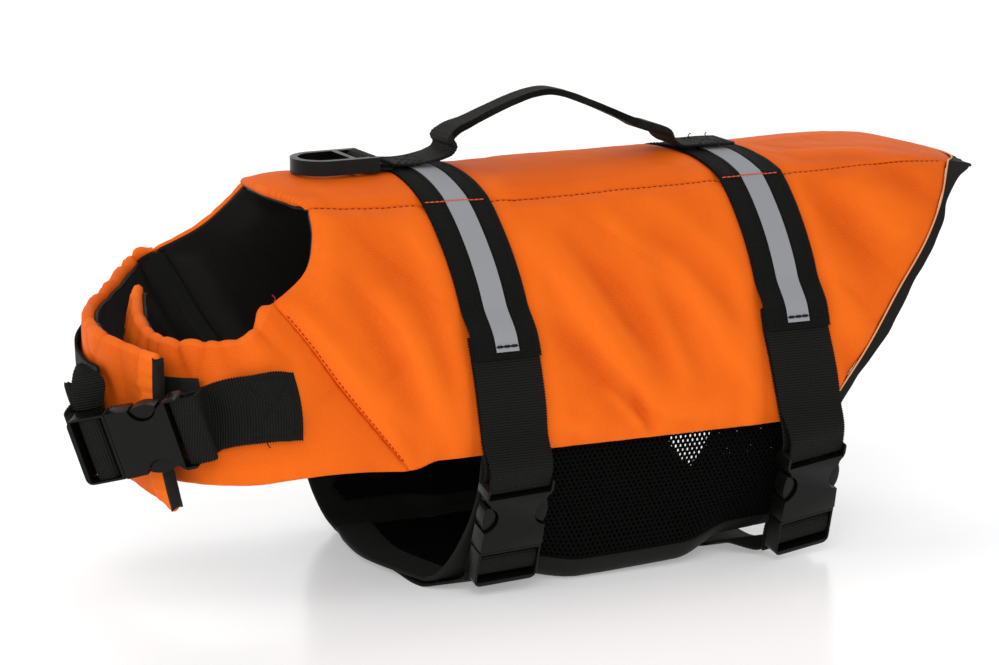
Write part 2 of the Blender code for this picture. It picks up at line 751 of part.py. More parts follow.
def skin_path(strap, girths, height):
    """Middle points of a strap at a height over the skin."""
    x = strap_x(strap, girths)
    return torso(x, girths) + torso_outward(x, girths) * height


def buckle_frame(buckle):
    """Matrix of a buckle's own frame: X across, Y toward the socket's end, Z out."""
    back_to_socket = -Vector(buckle.along).normalized()
    across = back_to_socket.cross(Vector(buckle.outward)).normalized()
    outward = across.cross(back_to_socket).normalized()
    turn = Matrix((across, back_to_socket, outward)).transposed().to_4x4()
    return Matrix.Translation(Vector(buckle.centre) * MM) @ turn


def in_buckle(buckle, points):
    """Turn points of a buckle's own frame into the jacket's, in millimetres."""
    frame = buckle_frame(buckle)
    return np.array([frame @ (Vector(point) * MM) / MM for point in points])


# Webbing round a buckle's bars, in the buckle's frame: distance toward the socket's end, and out.
SOCKET_BEND = [
    (40, 2.6),
    (35, 3.1),
    (30, 3.1),
    (27.9, 2.6),
    (27.1, 1.2),
    (27.1, -1.2),
    (27.9, -2.6),
    (30, -3.1),
    (35, -3.1),
]
PLUG_BEND = [
    (-33.6, -9.2),
    (-24.0, -8.4),
    (-16.0, -7.2),
    (-13.5, -4.6),
    (-13.1, -0.5),
    (-14.3, 2.4),
    (-16.5, 3.1),
    (-21.5, 3.1),
    (-23.8, 2.4),
    (-24.9, -0.3),
    (-25.3, -5.0),
    (-27.3, -6.6),
    (-33.6, -6.8),
]


def lengthwise(before, buckle, count, after):
    """Directions across a strap: along the jacket, and along the buckle's bar where it turns."""
    bar = np.array(buckle_frame(buckle).col[0][:3])
    ahead = np.array([1.0, 0, 0])
    parts = ((ahead, before), (bar, count), (ahead, after))
    return np.concatenate([np.tile(way, (number, 1)) for way, number in parts])


def socket_loop(strap, buckle):
    """Make the doubled webbing that hangs from the upper strap and carries a socket."""
    down = -np.array([STRAP_END - UNDER_STRAP, STRAP_END, 158, 172, 186.0])
    blend = np.clip((np.abs(down) - STRAP_END) / 50.0, 0, 1)[:, None]
    shift = np.array([[strap.x_buckle - strap.x_end, 0, 0]]) * blend
    outer = skin_path(strap, down, 3.3) + shift
    inner = (skin_path(strap, down, 1.3) + shift)[::-1]
    bend = in_buckle(buckle, [(0, y, z) for y, z in SOCKET_BEND])
    path = np.concatenate([outer, bend, inner])
    across = lengthwise(len(outer), buckle, len(bend), len(inner))
    squeezed = np.array([WEBBING, WEBBING, WEBBING, WEBBING, (WEBBING + SOCKET_WEBBING) / 2])
    width = np.concatenate([squeezed, np.full(len(bend), SOCKET_WEBBING), squeezed[::-1]])
    ribbon(f"{strap.name}_socket_loop", path, across, width, WEBBING_THICK, "black_webbing")


def belly_strap(strap, buckle):
    """Make the strap from a plug, under the belly and up to the far end of the upper strap."""
    bend = in_buckle(buckle, [(0, y, z) for y, z in reversed(PLUG_BEND)])
    skew = column(BELLY_ROUTE, "skew")
    x = strap.x_buckle + (strap.x_skew - strap.x_buckle) * skew
    share = np.linspace(0, 1, len(BELLY_ROUTE)) ** 2
    x = x + (strap.x_end - strap.x_buckle) * share
    height = column(BELLY_ROUTE, "up") + strap.lift * column(BELLY_ROUTE, "lift")
    under = np.stack([x, column(BELLY_ROUTE, "across"), height], axis=1)
    up = skin_path(strap, np.array([186.0, 172, 158, STRAP_END, STRAP_END - UNDER_STRAP]), 1.3)
    path = np.concatenate([bend, under, up])
    across = lengthwise(0, buckle, len(bend), len(under) + len(up))
    width = np.full(len(path), WEBBING)
    width[: len(bend)] = PLUG_WEBBING
    ribbon(f"{strap.name}_belly_strap", path, across, width, WEBBING_THICK, "black_webbing")


# Heights on each flap where the chest webbing's rails lie, as shares from its top to its hem.
CHEST_ROWS = {LEFT: (0.31, 0.457, 0.603, 0.75), RIGHT: (0.20, 0.37, 0.55, 0.72)}
CHEST_ACROSS = np.linspace(-0.5, 0.5, 4)  # the same rails across a bar, as shares of the width


def flap_rails(which, starts, end, count, height):
    """Rails of webbing on a flap's skin, from a share of the flap's length for each rail."""
    rails = []
    for row, start in zip(CHEST_ROWS[which], starts):
        points, outward, _ = flap_surface(which, np.linspace(start, end, count))
        low = int(row * (len(points) - 1))
        part = row * (len(points) - 1) - low
        skin = points[low] * (1 - part) + points[low + 1] * part
        lean = unit(outward[low] * (1 - part) + outward[low + 1] * part)
        rails.append(skin + lean * height)
    return np.array(rails)


def bend_rails(buckle, bend, width):
    """Rails of webbing round a bar of the chest buckle."""
    rails = [[(share * width, y, z) for y, z in bend] for share in CHEST_ACROSS]
    return np.array([in_buckle(buckle, rail) for rail in rails])


def chest_web_left(buckle):
    """Make the doubled webbing on the left flap that carries the chest socket."""
    outer = flap_rails(LEFT, (0.105, 0.124, 0.143, 0.162), 0.34, 5, 3.9)
    inner = flap_rails(LEFT, (0.125, 0.144, 0.163, 0.182), 0.33, 5, 1.7)[:, ::-1]
    rails = np.concatenate([outer, bend_rails(buckle, SOCKET_BEND, SOCKET_WEBBING), inner], axis=1)
    strip("chest_web_left", rails, WEBBING_THICK, "black_webbing")


def chest_web_right(buckle):
    """Make the webbing from the chest plug round the outer flap to the right shoulder."""
    bend = bend_rails(buckle, PLUG_BEND[::-1], PLUG_WEBBING)
    shoulder = flap_rails(RIGHT, (0.14, 0.14, 0.14, 0.14), 0.80, 12, 2.4)[:, ::-1]
    rails = np.concatenate([bend, shoulder], axis=1)
    strip("chest_web_right", rails, WEBBING_THICK, "black_webbing")


# Outline of the chest webbing's free end, in the buckle's frame: across and along.
CHEST_TAIL = [
    (-43, -18.7),
    (-42.3, -16.1),
    (-38.7, -12.8),
    (-32.1, -8.9),
    (-25.6, -10.7),
    (-17.8, -15),
    (-17.8, -29),
    (-22, -29.5),
    (-33.3, -26.2),
]


def chest_tail(buckle):
    """Make the webbing's folded free end, which stands up behind the chest plug."""
    mesh = prism(CHEST_TAIL, -10.4, -7.6)
    place("chest_tail", mesh, "black_webbing", buckle_frame(buckle))


def closure_patch():
    """Make the hook-and-loop patch on the left flap, between webbing and outer flap."""
    points, outward, _ = flap_surface(LEFT, np.linspace(0.42, 0.58, 5))
    rows = slice(1, 5)
    base, lean = points[rows], outward[rows]
    wall("closure_patch", base + lean * 2.0, base + lean * 0.8, "black_binding")


# ---------------------------------------------------------------- handle, loop and ring


def handle():
    """Make the carrying handle of folded webbing."""
    path = np.stack([column(HANDLE, "x"), 0 * column(HANDLE, "x"), column(HANDLE, "up")], axis=1)
    width, thick = column(HANDLE, "width"), column(HANDLE, "thick")
    ribbon("handle", path, (0, 1, 0), width, thick, "black_webbing")


def ring_loop():
    """Make the webbing loop that the D-ring turns in."""
    reach = RING_BAR + 0.45 + WEBBING_THICK / 2
    turns = np.radians(np.linspace(78, 282, 9))
    bend = [
        (RING_AXIS_X + reach * math.cos(a), RING_AXIS_UP + reach * math.sin(a)) for a in turns
    ]
    side_view = [(-86.6, 222.0), (-91, 224.0), *bend, (-91, 219.4), (-86.6, 219.2)]
    path = [(x, 0, up) for x, up in side_view]
    ribbon("ring_loop", path, (0, 1, 0), HANDLE_WEBBING, WEBBING_THICK, "black_webbing")


def ring_outline(inset, arc_points):
    """Outline of the ring's front: straight sides and a round front, in the bar's frame."""
    half = RING_WIDTH / 2 - inset
    front = RING_LENGTH - RING_BAR - 0.4
    middle = -(front - RING_WIDTH / 2)
    turns = np.linspace(math.pi / 2, 3 * math.pi / 2, arc_points)
    return [(middle + half * math.cos(a), half * math.sin(a)) for a in turns]


def d_ring():
    """Make the plastic D-ring in its bar's frame and set it on its axis."""
    half_wall = RING_HEIGHT / 2
    inner = RING_WIDTH / 2 - RING_WALL
    back_x = RING_BAR + 0.4
    outer = [(back_x, -RING_WIDTH / 2), (back_x, RING_WIDTH / 2), *ring_outline(0, 15)]
    slot_front = -(RING_BAR + RING_SLOT)
    slot = [(back_x + 2, -inner), (back_x + 2, inner), (slot_front, inner), (slot_front, -inner)]
    hole_back = slot_front - RING_CROSSBAR
    hole = [(hole_back, -inner), (hole_back, inner), *ring_outline(RING_WALL, 13)]
    ring = carve(
        prism(outer, -half_wall, half_wall),
        [prism(slot, -half_wall - 2, half_wall + 2), prism(hole, -half_wall - 2, half_wall + 2)],
        "DIFFERENCE",
    )
    soften(ring, 0.9)
    ring = carve(ring, [rod(RING_BAR, (0, -inner - 1.5, 0), (0, inner + 1.5, 0))], "UNION")
    axis = Matrix.Translation(Vector((RING_AXIS_X, 0, RING_AXIS_UP)) * MM)
    place("d_ring", ring, "black_plastic", axis)


# ---------------------------------------------------------------- buckles


def rectangle(width, low, high):
    """Outline of a rectangle centred on X = 0, between two Y."""
    return [(-width / 2, low), (width / 2, low), (width / 2, high), (-width / 2, high)]


def mirrored(half):
    """Close an outline given as its right half, from top to bottom."""
    return half + [(-x, y) for x, y in reversed(half)]


def arc(centre, radius, start, end, count):
    """Points on an arc, angles in degrees."""
    turns = np.radians(np.linspace(start, end, count))
    return [(centre[0] + radius * math.cos(a), centre[1] + radius * math.sin(a)) for a in turns]


def socket_mesh():
    """Return the socket half of a buckle."""
    half_width = SOCKET_WIDTH / 2
    half = [
        (half_width - 2, SOCKET_TOP),
        (half_width, SOCKET_TOP - 2),
        (half_width, SOCKET_TOP - 6.3),
        (half_width - 3.5, SOCKET_TOP - 13.5),
        (half_width - 3.5, SOCKET_TOP - 16),
        (half_width - 1.9, BUTTON_AT - 6),
        (half_width - 1.3, SOCKET_END),
    ]
    body = prism(mirrored(half), -SOCKET_THICK / 2, SOCKET_THICK / 2)
    deep = SOCKET_THICK
    slot = rectangle(SOCKET_SLOT, 25.2, 29.2)
    mouth = rectangle(31.6, SOCKET_END - 2, 19.4)
    tools = [prism(slot, -deep, deep), prism(mouth, -3.6, 3.6)]
    relief = rectangle(SOCKET_SLOT, 29, SOCKET_TOP + 2)
    tools += [prism(relief, SOCKET_BAR, deep), prism(relief, -deep, -SOCKET_BAR)]
    for way in (LEFT, RIGHT):
        tools.append(prism(arc((way * 18.9, BUTTON_AT), 7.0, 0, 342, 20), -deep, deep))
    socket = carve(body, tools, "DIFFERENCE")
    soften(socket, 0.8)
    return socket


def plug_mesh():
    """Return the plug half of a buckle: its frame and bar, tongue and side arms."""
    half_width = PLUG_WIDTH / 2
    top = SOCKET_END - GAP
    half = [
        (half_width, top),
        (half_width, PLUG_END + 2.8),
        (half_width - 0.9, PLUG_END + 1.1),
        (half_width - 3.2, PLUG_END),
    ]
    base = prism(mirrored(half), -PLUG_THICK / 2, PLUG_THICK / 2)
    window = rectangle(PLUG_SLOT, PLUG_END + 2.4, top - 1.8)
    base = carve(base, [prism(window, -PLUG_THICK, PLUG_THICK)], "DIFFERENCE")
    soften(base, 0.6)
    tongue = [(-4, top - 1), (4, top - 1), (3.2, 15), (-3.2, 15)]
    bar = rectangle(PLUG_SLOT + 1.2, -23.0, -15.1)
    tools = [prism(tongue, -2.6, 2.6), prism(bar, -1.4, 1.4)]
    for way in (LEFT, RIGHT):
        button = arc((14.8, BUTTON_AT), 5.2, -50, 108, 7)
        arm = [(9.8, top - 1), (13.8, top - 1), (14.4, 6.0), *button, (10.8, 15.6), (10.2, 8.0)]
        tools.append(prism([(way * x, y) for x, y in arm], -3.0, 3.0))
    return carve(base, tools, "UNION")


def buckles():
    """Set the three fastened buckles."""
    socket, plug = socket_mesh(), plug_mesh()
    for buckle in BUCKLES:
        frame = buckle_frame(buckle)
        place(f"{buckle.name}_socket", socket.copy(), "black_plastic", frame)
        place(f"{buckle.name}_plug", plug.copy(), "black_plastic", frame)


# ---------------------------------------------------------------- the whole jacket


def clear_scene():
    """Remove what the scene holds."""
    for thing in list(bpy.data.objects):
        bpy.data.objects.remove(thing, do_unlink=True)


def build():
    """Make every piece of the jacket."""
    back()
    side(LEFT, "left")
    side(RIGHT, "right")
    neck_flap(LEFT, "left")
    skin, points, outward = neck_flap(RIGHT, "right")
    flap_end(skin, points, outward)
    rear_binding()
    belly()
    top = WEBBING_THICK
    low = top + GAP
    tape = (-TAPE_WIDTH / 2, TAPE_WIDTH / 2)
    webbing = (-WEBBING / 2, *tape, WEBBING / 2)
    for strap, buckle in zip(STRAPS, BUCKLES):
        over_back(f"{strap.name}_strap", strap, STRAP_END, webbing, 0, top, "black_webbing")
        name = f"{strap.name}_reflective"
        over_back(name, strap, TAPE_END, tape, low, low + TAPE_THICK, "reflective_tape")
        socket_loop(strap, buckle)
        belly_strap(strap, buckle)
    chest_web_left(BUCKLES[2])
    chest_web_right(BUCKLES[2])
    chest_tail(BUCKLES[2])
    closure_patch()
    handle()
    ring_loop()
    d_ring()
    buckles()


clear_scene()
build()
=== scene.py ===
# %% [markdown]
# # A dog life jacket, cut and sewn in numpy
# The real jacket is foam between orange oxford cloth and a black lining: a back, two sides and two
# neck flaps that close over the chest. A mesh panel goes under the belly, and two girth straps and
# a chest strap close with side-release buckles. Here each piece is a surface on a grid, worked out
# from the sizes of the pattern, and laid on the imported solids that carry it.

# %% Load the fixed frame
import math
from collections import namedtuple

import bmesh
import bpy
import numpy as np
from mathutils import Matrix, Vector


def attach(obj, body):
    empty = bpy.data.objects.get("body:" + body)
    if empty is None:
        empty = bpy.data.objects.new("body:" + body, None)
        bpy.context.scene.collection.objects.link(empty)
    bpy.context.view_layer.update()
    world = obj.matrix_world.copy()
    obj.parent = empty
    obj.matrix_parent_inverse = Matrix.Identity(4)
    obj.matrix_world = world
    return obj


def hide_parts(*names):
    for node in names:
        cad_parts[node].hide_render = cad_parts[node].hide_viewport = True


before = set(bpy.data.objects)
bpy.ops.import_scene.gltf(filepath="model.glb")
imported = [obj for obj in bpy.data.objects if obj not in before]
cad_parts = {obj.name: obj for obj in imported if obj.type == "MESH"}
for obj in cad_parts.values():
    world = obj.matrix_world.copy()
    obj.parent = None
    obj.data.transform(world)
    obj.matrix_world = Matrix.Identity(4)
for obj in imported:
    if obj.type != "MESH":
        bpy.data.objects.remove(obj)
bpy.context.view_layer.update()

# %% [markdown]
# ## The camera first
# It is a long lens, low and off the jacket's left shoulder, so the side shows nearly flat and the
# neck opening shows on the left. A camera looks along its own -Z, so its turn comes from the view
# direction. Its place and direction are in metres, in the frame of the jacket.

# %% Camera
camera_data = bpy.data.cameras.new("camera")
camera_data.lens = 169.4
camera_data.sensor_width = 36.0
camera_data.clip_end = 20.0
camera = bpy.data.objects.new("camera", camera_data)
camera.location = (-1.1125, -2.2666, 0.6578)
camera.rotation_euler = Vector((0.42879, 0.87915, -0.20791)).to_track_quat("-Z", "Y").to_euler()
bpy.context.scene.collection.objects.link(camera)
bpy.context.scene.camera = camera
print("lens", camera_data.lens, "mm")

# %% [markdown]
# ## Reading a pattern table
# A tailor's table gives a size at a few stations, and the cloth runs smoothly between them. A
# cubic through the stations does that: each station's slope is the slope between its neighbours.

# %% Curves through tables
MM = 0.001
ORIGIN = np.array([-11.577, -4.841, 0.0])  # the pattern's point that is the frame's origin, in mm
LEFT, RIGHT = -1, 1
SIDES = ((LEFT, "left"), (RIGHT, "right"))


def table(names, text):
    """A table as named columns, typed as numbers with a comma between its rows."""
    rows = np.array([row.split() for row in text.split(",")], float)
    return dict(zip(names.split(), rows.T.copy()))


def smooth(at, stations, values):
    """Cubic through (stations, values): straight line plus t(1-t) times what the slopes add."""
    slopes = np.gradient(values, stations)
    at = np.asarray(at, float)
    inside = np.clip(at, stations[0], stations[-1])
    i = np.clip(np.searchsorted(stations, inside, side="right") - 1, 0, len(stations) - 2)
    width = stations[i + 1] - stations[i]
    t = (inside - stations[i]) / width
    rise = values[i + 1] - values[i]
    bend = (slopes[i] * width - rise) * (1 - t) - (slopes[i + 1] * width - rise) * t
    past = np.where(at < stations[0], slopes[0], slopes[-1]) * (at - inside)
    return values[i] + rise * t + t * (1 - t) * bend + past


def read(rows, at, by, wanted):
    """Column `wanted` of a table, read smoothly along its column `by`."""
    return smooth(at, rows[by], rows[wanted])


def ramp(distance, reach):
    """3t^2 - 2t^3: 0 at no distance, 1 from `reach` on, with level ends."""
    t = np.clip(np.asarray(distance, float) / reach, 0, 1)
    return t * t * (3 - 2 * t)


def unit(vectors):
    """Each vector over its length."""
    return vectors / np.maximum(np.linalg.norm(vectors, axis=-1, keepdims=True), 1e-9)


def strides(points, axis=0):
    """Distances between neighbouring points."""
    return np.linalg.norm(np.diff(points, axis=axis), axis=-1)


def measured(steps):
    """Distance from the start at every point, from the steps between them."""
    return np.concatenate([[0], np.cumsum(steps)])


def facing(grid):
    """Unit normals of a grid: cross product of its slopes along both axes."""
    return unit(np.cross(np.gradient(grid, axis=0), np.gradient(grid, axis=1)))


def normal(surface, x, at, step):
    """Unit normal of a surface: cross product of a small step along and a small step round."""
    along = surface(x + step, at) - surface(x - step, at)
    around = surface(x, at + step) - surface(x, at - step)
    return unit(np.cross(along, around))


def drift(u, v, size, seed):
    """Soft noise from -1 to 1: random heights on squares of `size`, blended by 3t^2 - 2t^3."""
    heights = np.random.default_rng(seed).uniform(-1, 1, (64, 64))
    a, b = np.broadcast_arrays(np.asarray(u, float) / size, np.asarray(v, float) / size)
    i, j = np.floor(a).astype(int), np.floor(b).astype(int)
    s, t = ramp(a - i, 1), ramp(b - j, 1)
    near = heights[i % 64, j % 64] * (1 - s) + heights[(i + 1) % 64, j % 64] * s
    far = heights[i % 64, (j + 1) % 64] * (1 - s) + heights[(i + 1) % 64, (j + 1) % 64] * s
    return near * (1 - t) + far * t


print("half way up a ramp:", float(ramp(0.5, 1)))

# %% [markdown]
# ## From a grid to a piece of cloth
# Cloth has two faces and an edge. The faces are two grids of points, and the edge is a half circle
# that runs round their border, so light rolls over it as over a folded hem. All corner numbers come
# from one array of indices, sliced four ways. If the volume comes out negative, the grid was wound
# the other way, and every face is turned over.

# %% Meshes from arrays
PIECES = []


def placed(name, data):
    """A new object in the scene, at the origin."""
    made = bpy.data.objects.new(name, data)
    bpy.context.scene.collection.objects.link(made)
    return made


def mesh_object(name, points, quads, finish, uv=None, fold_shade=None):
    """Points in mm, less ORIGIN and times 0.001, with four-cornered faces turned to face out."""
    p = ((points - ORIGIN) * MM).astype(np.float64)
    a, b, c, d = (p[quads[:, k]] for k in range(4))
    volume = (np.cross(b - a, c - a) * a).sum() + (np.cross(c - a, d - a) * a).sum()
    if volume < 0:
        quads = quads[:, ::-1]
    mesh = bpy.data.meshes.new(name)
    mesh.vertices.add(len(p))
    mesh.vertices.foreach_set("co", p.ravel())
    mesh.loops.add(quads.size)
    mesh.loops.foreach_set("vertex_index", quads.ravel())
    mesh.polygons.add(len(quads))
    mesh.polygons.foreach_set("loop_start", np.arange(0, quads.size, 4))
    mesh.update(calc_edges=True)
    if uv is not None:
        layer = mesh.uv_layers.new(name="cloth")
        layer.uv.foreach_set("vector", (uv[quads.ravel()] * MM).ravel())
    # the fold value is what the orange cloth paints its shade and highlights from
    if fold_shade is not None:
        mesh.attributes.new("fold", "FLOAT", "POINT").data.foreach_set("value", fold_shade)
    mesh.shade_smooth()
    return dress(name, mesh, finish)


def dress(name, mesh, finish):
    """Give a mesh its finish and make it an object at the origin."""
    mesh.materials.clear()
    mesh.materials.append(FINISHES[finish])
    PIECES.append(placed(name, mesh))
    return PIECES[-1]


def grid_quads(rows, cols):
    """Corner numbers of a grid's faces: each point with its three neighbours ahead."""
    index = np.arange(rows * cols).reshape(rows, cols)
    corners = [index[:-1, :-1], index[:-1, 1:], index[1:, 1:], index[1:, :-1]]
    return np.stack([corner.ravel() for corner in corners], axis=1)


def border(grid):
    """A grid's border, once round, as one row."""
    return np.concatenate([grid[0, :], grid[1:, -1], grid[-1, -2::-1], grid[-2:0:-1, 0]])


def lengths(points):
    """Distances of a grid's points from its first row, last row, first and last column."""
    down = np.pad(np.cumsum(strides(points), axis=0), ((1, 0), (0, 0)))
    along = np.pad(np.cumsum(strides(points, 1), axis=1), ((0, 0), (1, 0)))
    return down, down[-1:] - down, along, along[:, -1:] - along


def wall(name, outer, inner, finish, swell=(0, 0, 0, 0), uv=None, fold_shade=None, turns=4):
    """Closed cloth: two faces and a rounded edge.

    Edge = middle of both faces + cos(a) half the thickness + sin(a) swell outward along the cloth,
    with a from 0 to half a turn, and a swell for the first and last row, first and last column.
    """
    rows, cols = outer.shape[:2]
    ahead = np.zeros_like(outer)
    ahead[0] += unit(outer[0] - outer[1]) * np.asarray(swell[0])[..., None]
    ahead[-1] += unit(outer[-1] - outer[-2]) * swell[1]
    ahead[:, 0] += unit(outer[:, 0] - outer[:, 1]) * swell[2]
    ahead[:, -1] += unit(outer[:, -1] - outer[:, -2]) * swell[3]
    top, low, way = border(outer), border(inner), border(ahead)
    angles = np.linspace(0, math.pi, turns + 1)[1:-1]
    rings = [(top + low) / 2 + math.cos(a) * (top - low) / 2 + math.sin(a) * way for a in angles]
    count, round_it = rows * cols, len(top)
    index = np.arange(count).reshape(rows, cols)
    chain = [border(index)]
    chain += [2 * count + k * round_it + np.arange(round_it) for k in range(len(rings))]
    chain += [border(index) + count]
    quads = [grid_quads(rows, cols), grid_quads(rows, cols)[:, ::-1] + count]
    for near, far in zip(chain, chain[1:]):
        quads.append(np.stack([np.roll(near, -1), near, far, np.roll(far, -1)], axis=1))
    points = np.concatenate([outer.reshape(-1, 3), inner.reshape(-1, 3), *rings])
    middle = (outer + inner) / 2
    down, _, along, _ = lengths(middle)
    uv = np.stack([along, down], axis=-1) if uv is None else uv
    flat = np.concatenate([uv.reshape(-1, 2)] * 2 + [border(uv)] * len(rings))
    if fold_shade is not None:
        fold_shade = np.concatenate([fold_shade.ravel()] * 2 + [border(fold_shade)] * len(rings))
    made = mesh_object(name, points, np.concatenate(quads), finish, flat, fold_shade)
    made["area"], made["flat"] = cut_of(middle, down, along)
    return made


def cut_of(points, down, along):
    """A grid's cut: area, half the cross product of each face's diagonals, and both sizes."""
    one = points[1:, 1:] - points[:-1, :-1]
    two = points[1:, :-1] - points[:-1, 1:]
    area = np.linalg.norm(np.cross(one, two), axis=-1).sum() / 2 * MM * MM
    return float(area), sorted((float(down[-1].max() * MM), float(along[:, -1].max() * MM)))


def stand_for(pieces):
    """Let each piece take the place of a plain solid, given as {node: piece}."""
    for node, piece in pieces.items():
        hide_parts(node)
        print(piece.name, len(piece.data.polygons), "faces")


print("a grid of 3 by 4 points has", len(grid_quads(3, 4)), "faces")

# %% [markdown]
# ## Finishes
# Every finish is made of nodes that read the piece's own cloth coordinates, in metres along and
# across the cloth, so a weave keeps its pitch and turns with the piece. One helper adds a node,
# and one turns a weave into a bump. Numbers that are the same all over sit on the shader.

# %% Node helpers
def start_finish(name, colour, roughness, shine, **sockets):
    """A new material: its node tree and its Principled shader, with constants on its sockets."""
    made = bpy.data.materials.new(name)
    made.use_nodes = True
    made.diffuse_color = (*colour, 1)
    shader = made.node_tree.nodes["Principled BSDF"]
    shader.inputs["Base Color"].default_value = (*colour, 1)
    shader.inputs["Roughness"].default_value = roughness
    shader.inputs["Specular IOR Level"].default_value = shine
    for key, value in sockets.items():
        shader.inputs[key.replace("_", " ")].default_value = value
    FINISHES[name] = made
    return made.node_tree, shader


def add(tree, kind, wiring, **settings):
    """A node of a kind, its settings set, and its inputs given as numbers or linked sockets."""
    made = tree.nodes.new(kind)
    for key, value in settings.items():
        setattr(made, key, value)
    for key, value in wiring.items():
        if isinstance(value, bpy.types.NodeSocket):
            tree.links.new(value, made.inputs[key])
        else:
            made.inputs[key].default_value = value
    return made


def maths(tree, operation, one, two=0.0):
    """The result of a Math node."""
    return add(tree, "ShaderNodeMath", {0: one, 1: two}, operation=operation).outputs[0]


def cloth_axes(tree, turn=0.0):
    """The cloth coordinates u and v in metres, turned by an angle in degrees."""
    place = add(tree, "ShaderNodeUVMap", {}, uv_map="cloth")
    turned = add(tree, "ShaderNodeMapping", {0: place.outputs[0], 2: (0, 0, math.radians(turn))})
    parts = add(tree, "ShaderNodeSeparateXYZ", {0: turned.outputs[0]})
    return turned.outputs[0], parts.outputs[0], parts.outputs[1]


def wave(tree, coordinate, pitch, shift=0.0):
    """Sine of a coordinate with the given pitch in millimetres."""
    turns = maths(tree, "MULTIPLY", coordinate, 2 * math.pi / (pitch * MM))
    if not isinstance(shift, float) or shift:
        turns = maths(tree, "ADD", turns, shift)
    return maths(tree, "SINE", turns)


def weave(tree, u, v, pitch):
    """The product of two waves at right angles, from 0 to 1."""
    crossed = maths(tree, "MULTIPLY", wave(tree, u, pitch), wave(tree, v, pitch))
    return span(tree, crossed, -1, 1, 0, 1)


def mottle(tree, vector, size, detail=2.0):
    """Noise from 0 to 1 with patches of about the given size in millimetres."""
    scale = 1 / (size * MM)
    wiring = {"Vector": vector, "Scale": scale, "Detail": detail}
    return add(tree, "ShaderNodeTexNoise", wiring).outputs["Fac"]


def span(tree, value, low, high, to_low, to_high):
    """Map a value from one range onto another."""
    wiring = {0: value, 1: low, 2: high, 3: to_low, 4: to_high}
    return add(tree, "ShaderNodeMapRange", wiring).outputs[0]


def blend_colour(tree, share, one, two):
    """Mix two colours by a share from 0 to 1."""
    made = add(tree, "ShaderNodeMix", {0: share, 6: one, 7: two}, data_type="RGBA")
    return made.outputs[2]


def emboss(tree, shader, height, depth, strength=1.0, below=None):
    """Bump the shader by a height from 0 to 1 that stands for `depth` millimetres."""
    wiring = {"Height": height, "Distance": depth * MM, "Strength": strength}
    if below is not None:
        wiring["Normal"] = below
    bump = add(tree, "ShaderNodeBump", wiring)
    tree.links.new(bump.outputs[0], shader.inputs["Normal"])
    return bump.outputs[0]


FINISHES = {}

# %% [markdown]
# ### Orange oxford cloth
# Oxford is a basket weave of fine yarns with a thin coat, so it has a soft gloss. Two sines at
# right angles make the basket, turned 45 degrees to the panel. Painted shade and painted highlight
# follow the folds: the orange is darker in creases and troughs and lighter on ridges, and a slow
# mottle keeps the panels from looking like plastic.

# %% Orange cloth
tree, shader = start_finish("orange_cloth", (0.87, 0.15, 0.012), 0.55, 0.03)
cloth, u, v = cloth_axes(tree, 45)
basket = weave(tree, u, v, 1.25)
fold = add(tree, "ShaderNodeAttribute", {}, attribute_name="fold").outputs["Fac"]
soft = mottle(tree, cloth, 28)
fine = mottle(tree, cloth, 1.6, 3)
# painted shade and painted highlight: a low fold value darkens the orange, a high one lightens it
depth = span(tree, fold, -2, 2, -0.1, 0.9)
depth = maths(tree, "ADD", depth, maths(tree, "MULTIPLY", soft, 0.5))
shade = blend_colour(tree, depth, (0.60, 0.064, 0.001, 1), (0.86, 0.139, 0.006, 1))
light = maths(tree, "MULTIPLY", basket, 0.6)
light = maths(tree, "ADD", light, maths(tree, "MULTIPLY", fine, 0.28))
light = maths(tree, "SUBTRACT", light, 0.22)
colour = blend_colour(tree, light, shade, (0.97, 0.205, 0.028, 1))
tree.links.new(colour, shader.inputs["Base Color"])
tree.links.new(span(tree, fine, 0.3, 0.7, 0.42, 0.55), shader.inputs["Roughness"])
wrinkle = emboss(tree, shader, mottle(tree, cloth, 9, 3), 0.35, 0.7)
emboss(tree, shader, basket, 0.05, 0.7, wrinkle)
print("orange cloth has", len(tree.nodes), "nodes")

# %% [markdown]
# ### Black lining, mesh, binding
# The lining is a smooth black taffeta: nearly plain, with a satin gloss and a faint fold here and
# there. The mesh is a warm black knit whose holes are real, so its finish only has to roughen the
# strands. The binding is a folded plain tape, matt, with fine threads across.

# %% Black cloths
def plain_black(name, colour, gloss, shine, crease, threads, sheen):
    """A black cloth: crease is (size, detail, depth, strength), threads (pitch, depth, strength)."""
    tree, shader = start_finish(name, colour, gloss, shine, Sheen_Weight=sheen)
    cloth, u, v = cloth_axes(tree)
    size, detail, deep, strength = crease
    creased = emboss(tree, shader, mottle(tree, cloth, size, detail), deep, strength)
    if threads:
        pitch, deep, strength = threads
        emboss(tree, shader, weave(tree, u, v, pitch), deep, strength, creased)


for name, colour, gloss, shine, crease, threads, sheen in (
    ("black_lining", (0.0044, 0.0034, 0.0027), 0.5, 0.12, (16, 3, 0.8, 0.8), (0.7, 0.03, 0.5), 0.02),
    ("black_mesh", (0.0021, 0.0022, 0.0019), 0.75, 0.04, (0.8, 2, 0.2, 0.8), None, 0.0),
    ("black_binding", (0.007, 0.007, 0.006), 0.72, 0.15, (7, 2, 0.5, 0.7), (0.8, 0.06, 0.7), 0.02),
):
    plain_black(name, colour, gloss, shine, crease, threads, sheen)
print("black cloths done")

# %% [markdown]
# ### Webbing
# Polypropylene webbing shows ribs across its width, one for each pass of the weft, and the warp
# yarns bead every rib. Each second rib is half a bead to the side. Height = |sine of the rib| times
# |sine of the bead, shifted by half on every second rib|, which gives the weave's little bricks.

# %% Webbing
RIB, BEAD = 1.45, 1.5  # pitch of ribs along and of yarns across the webbing, mm


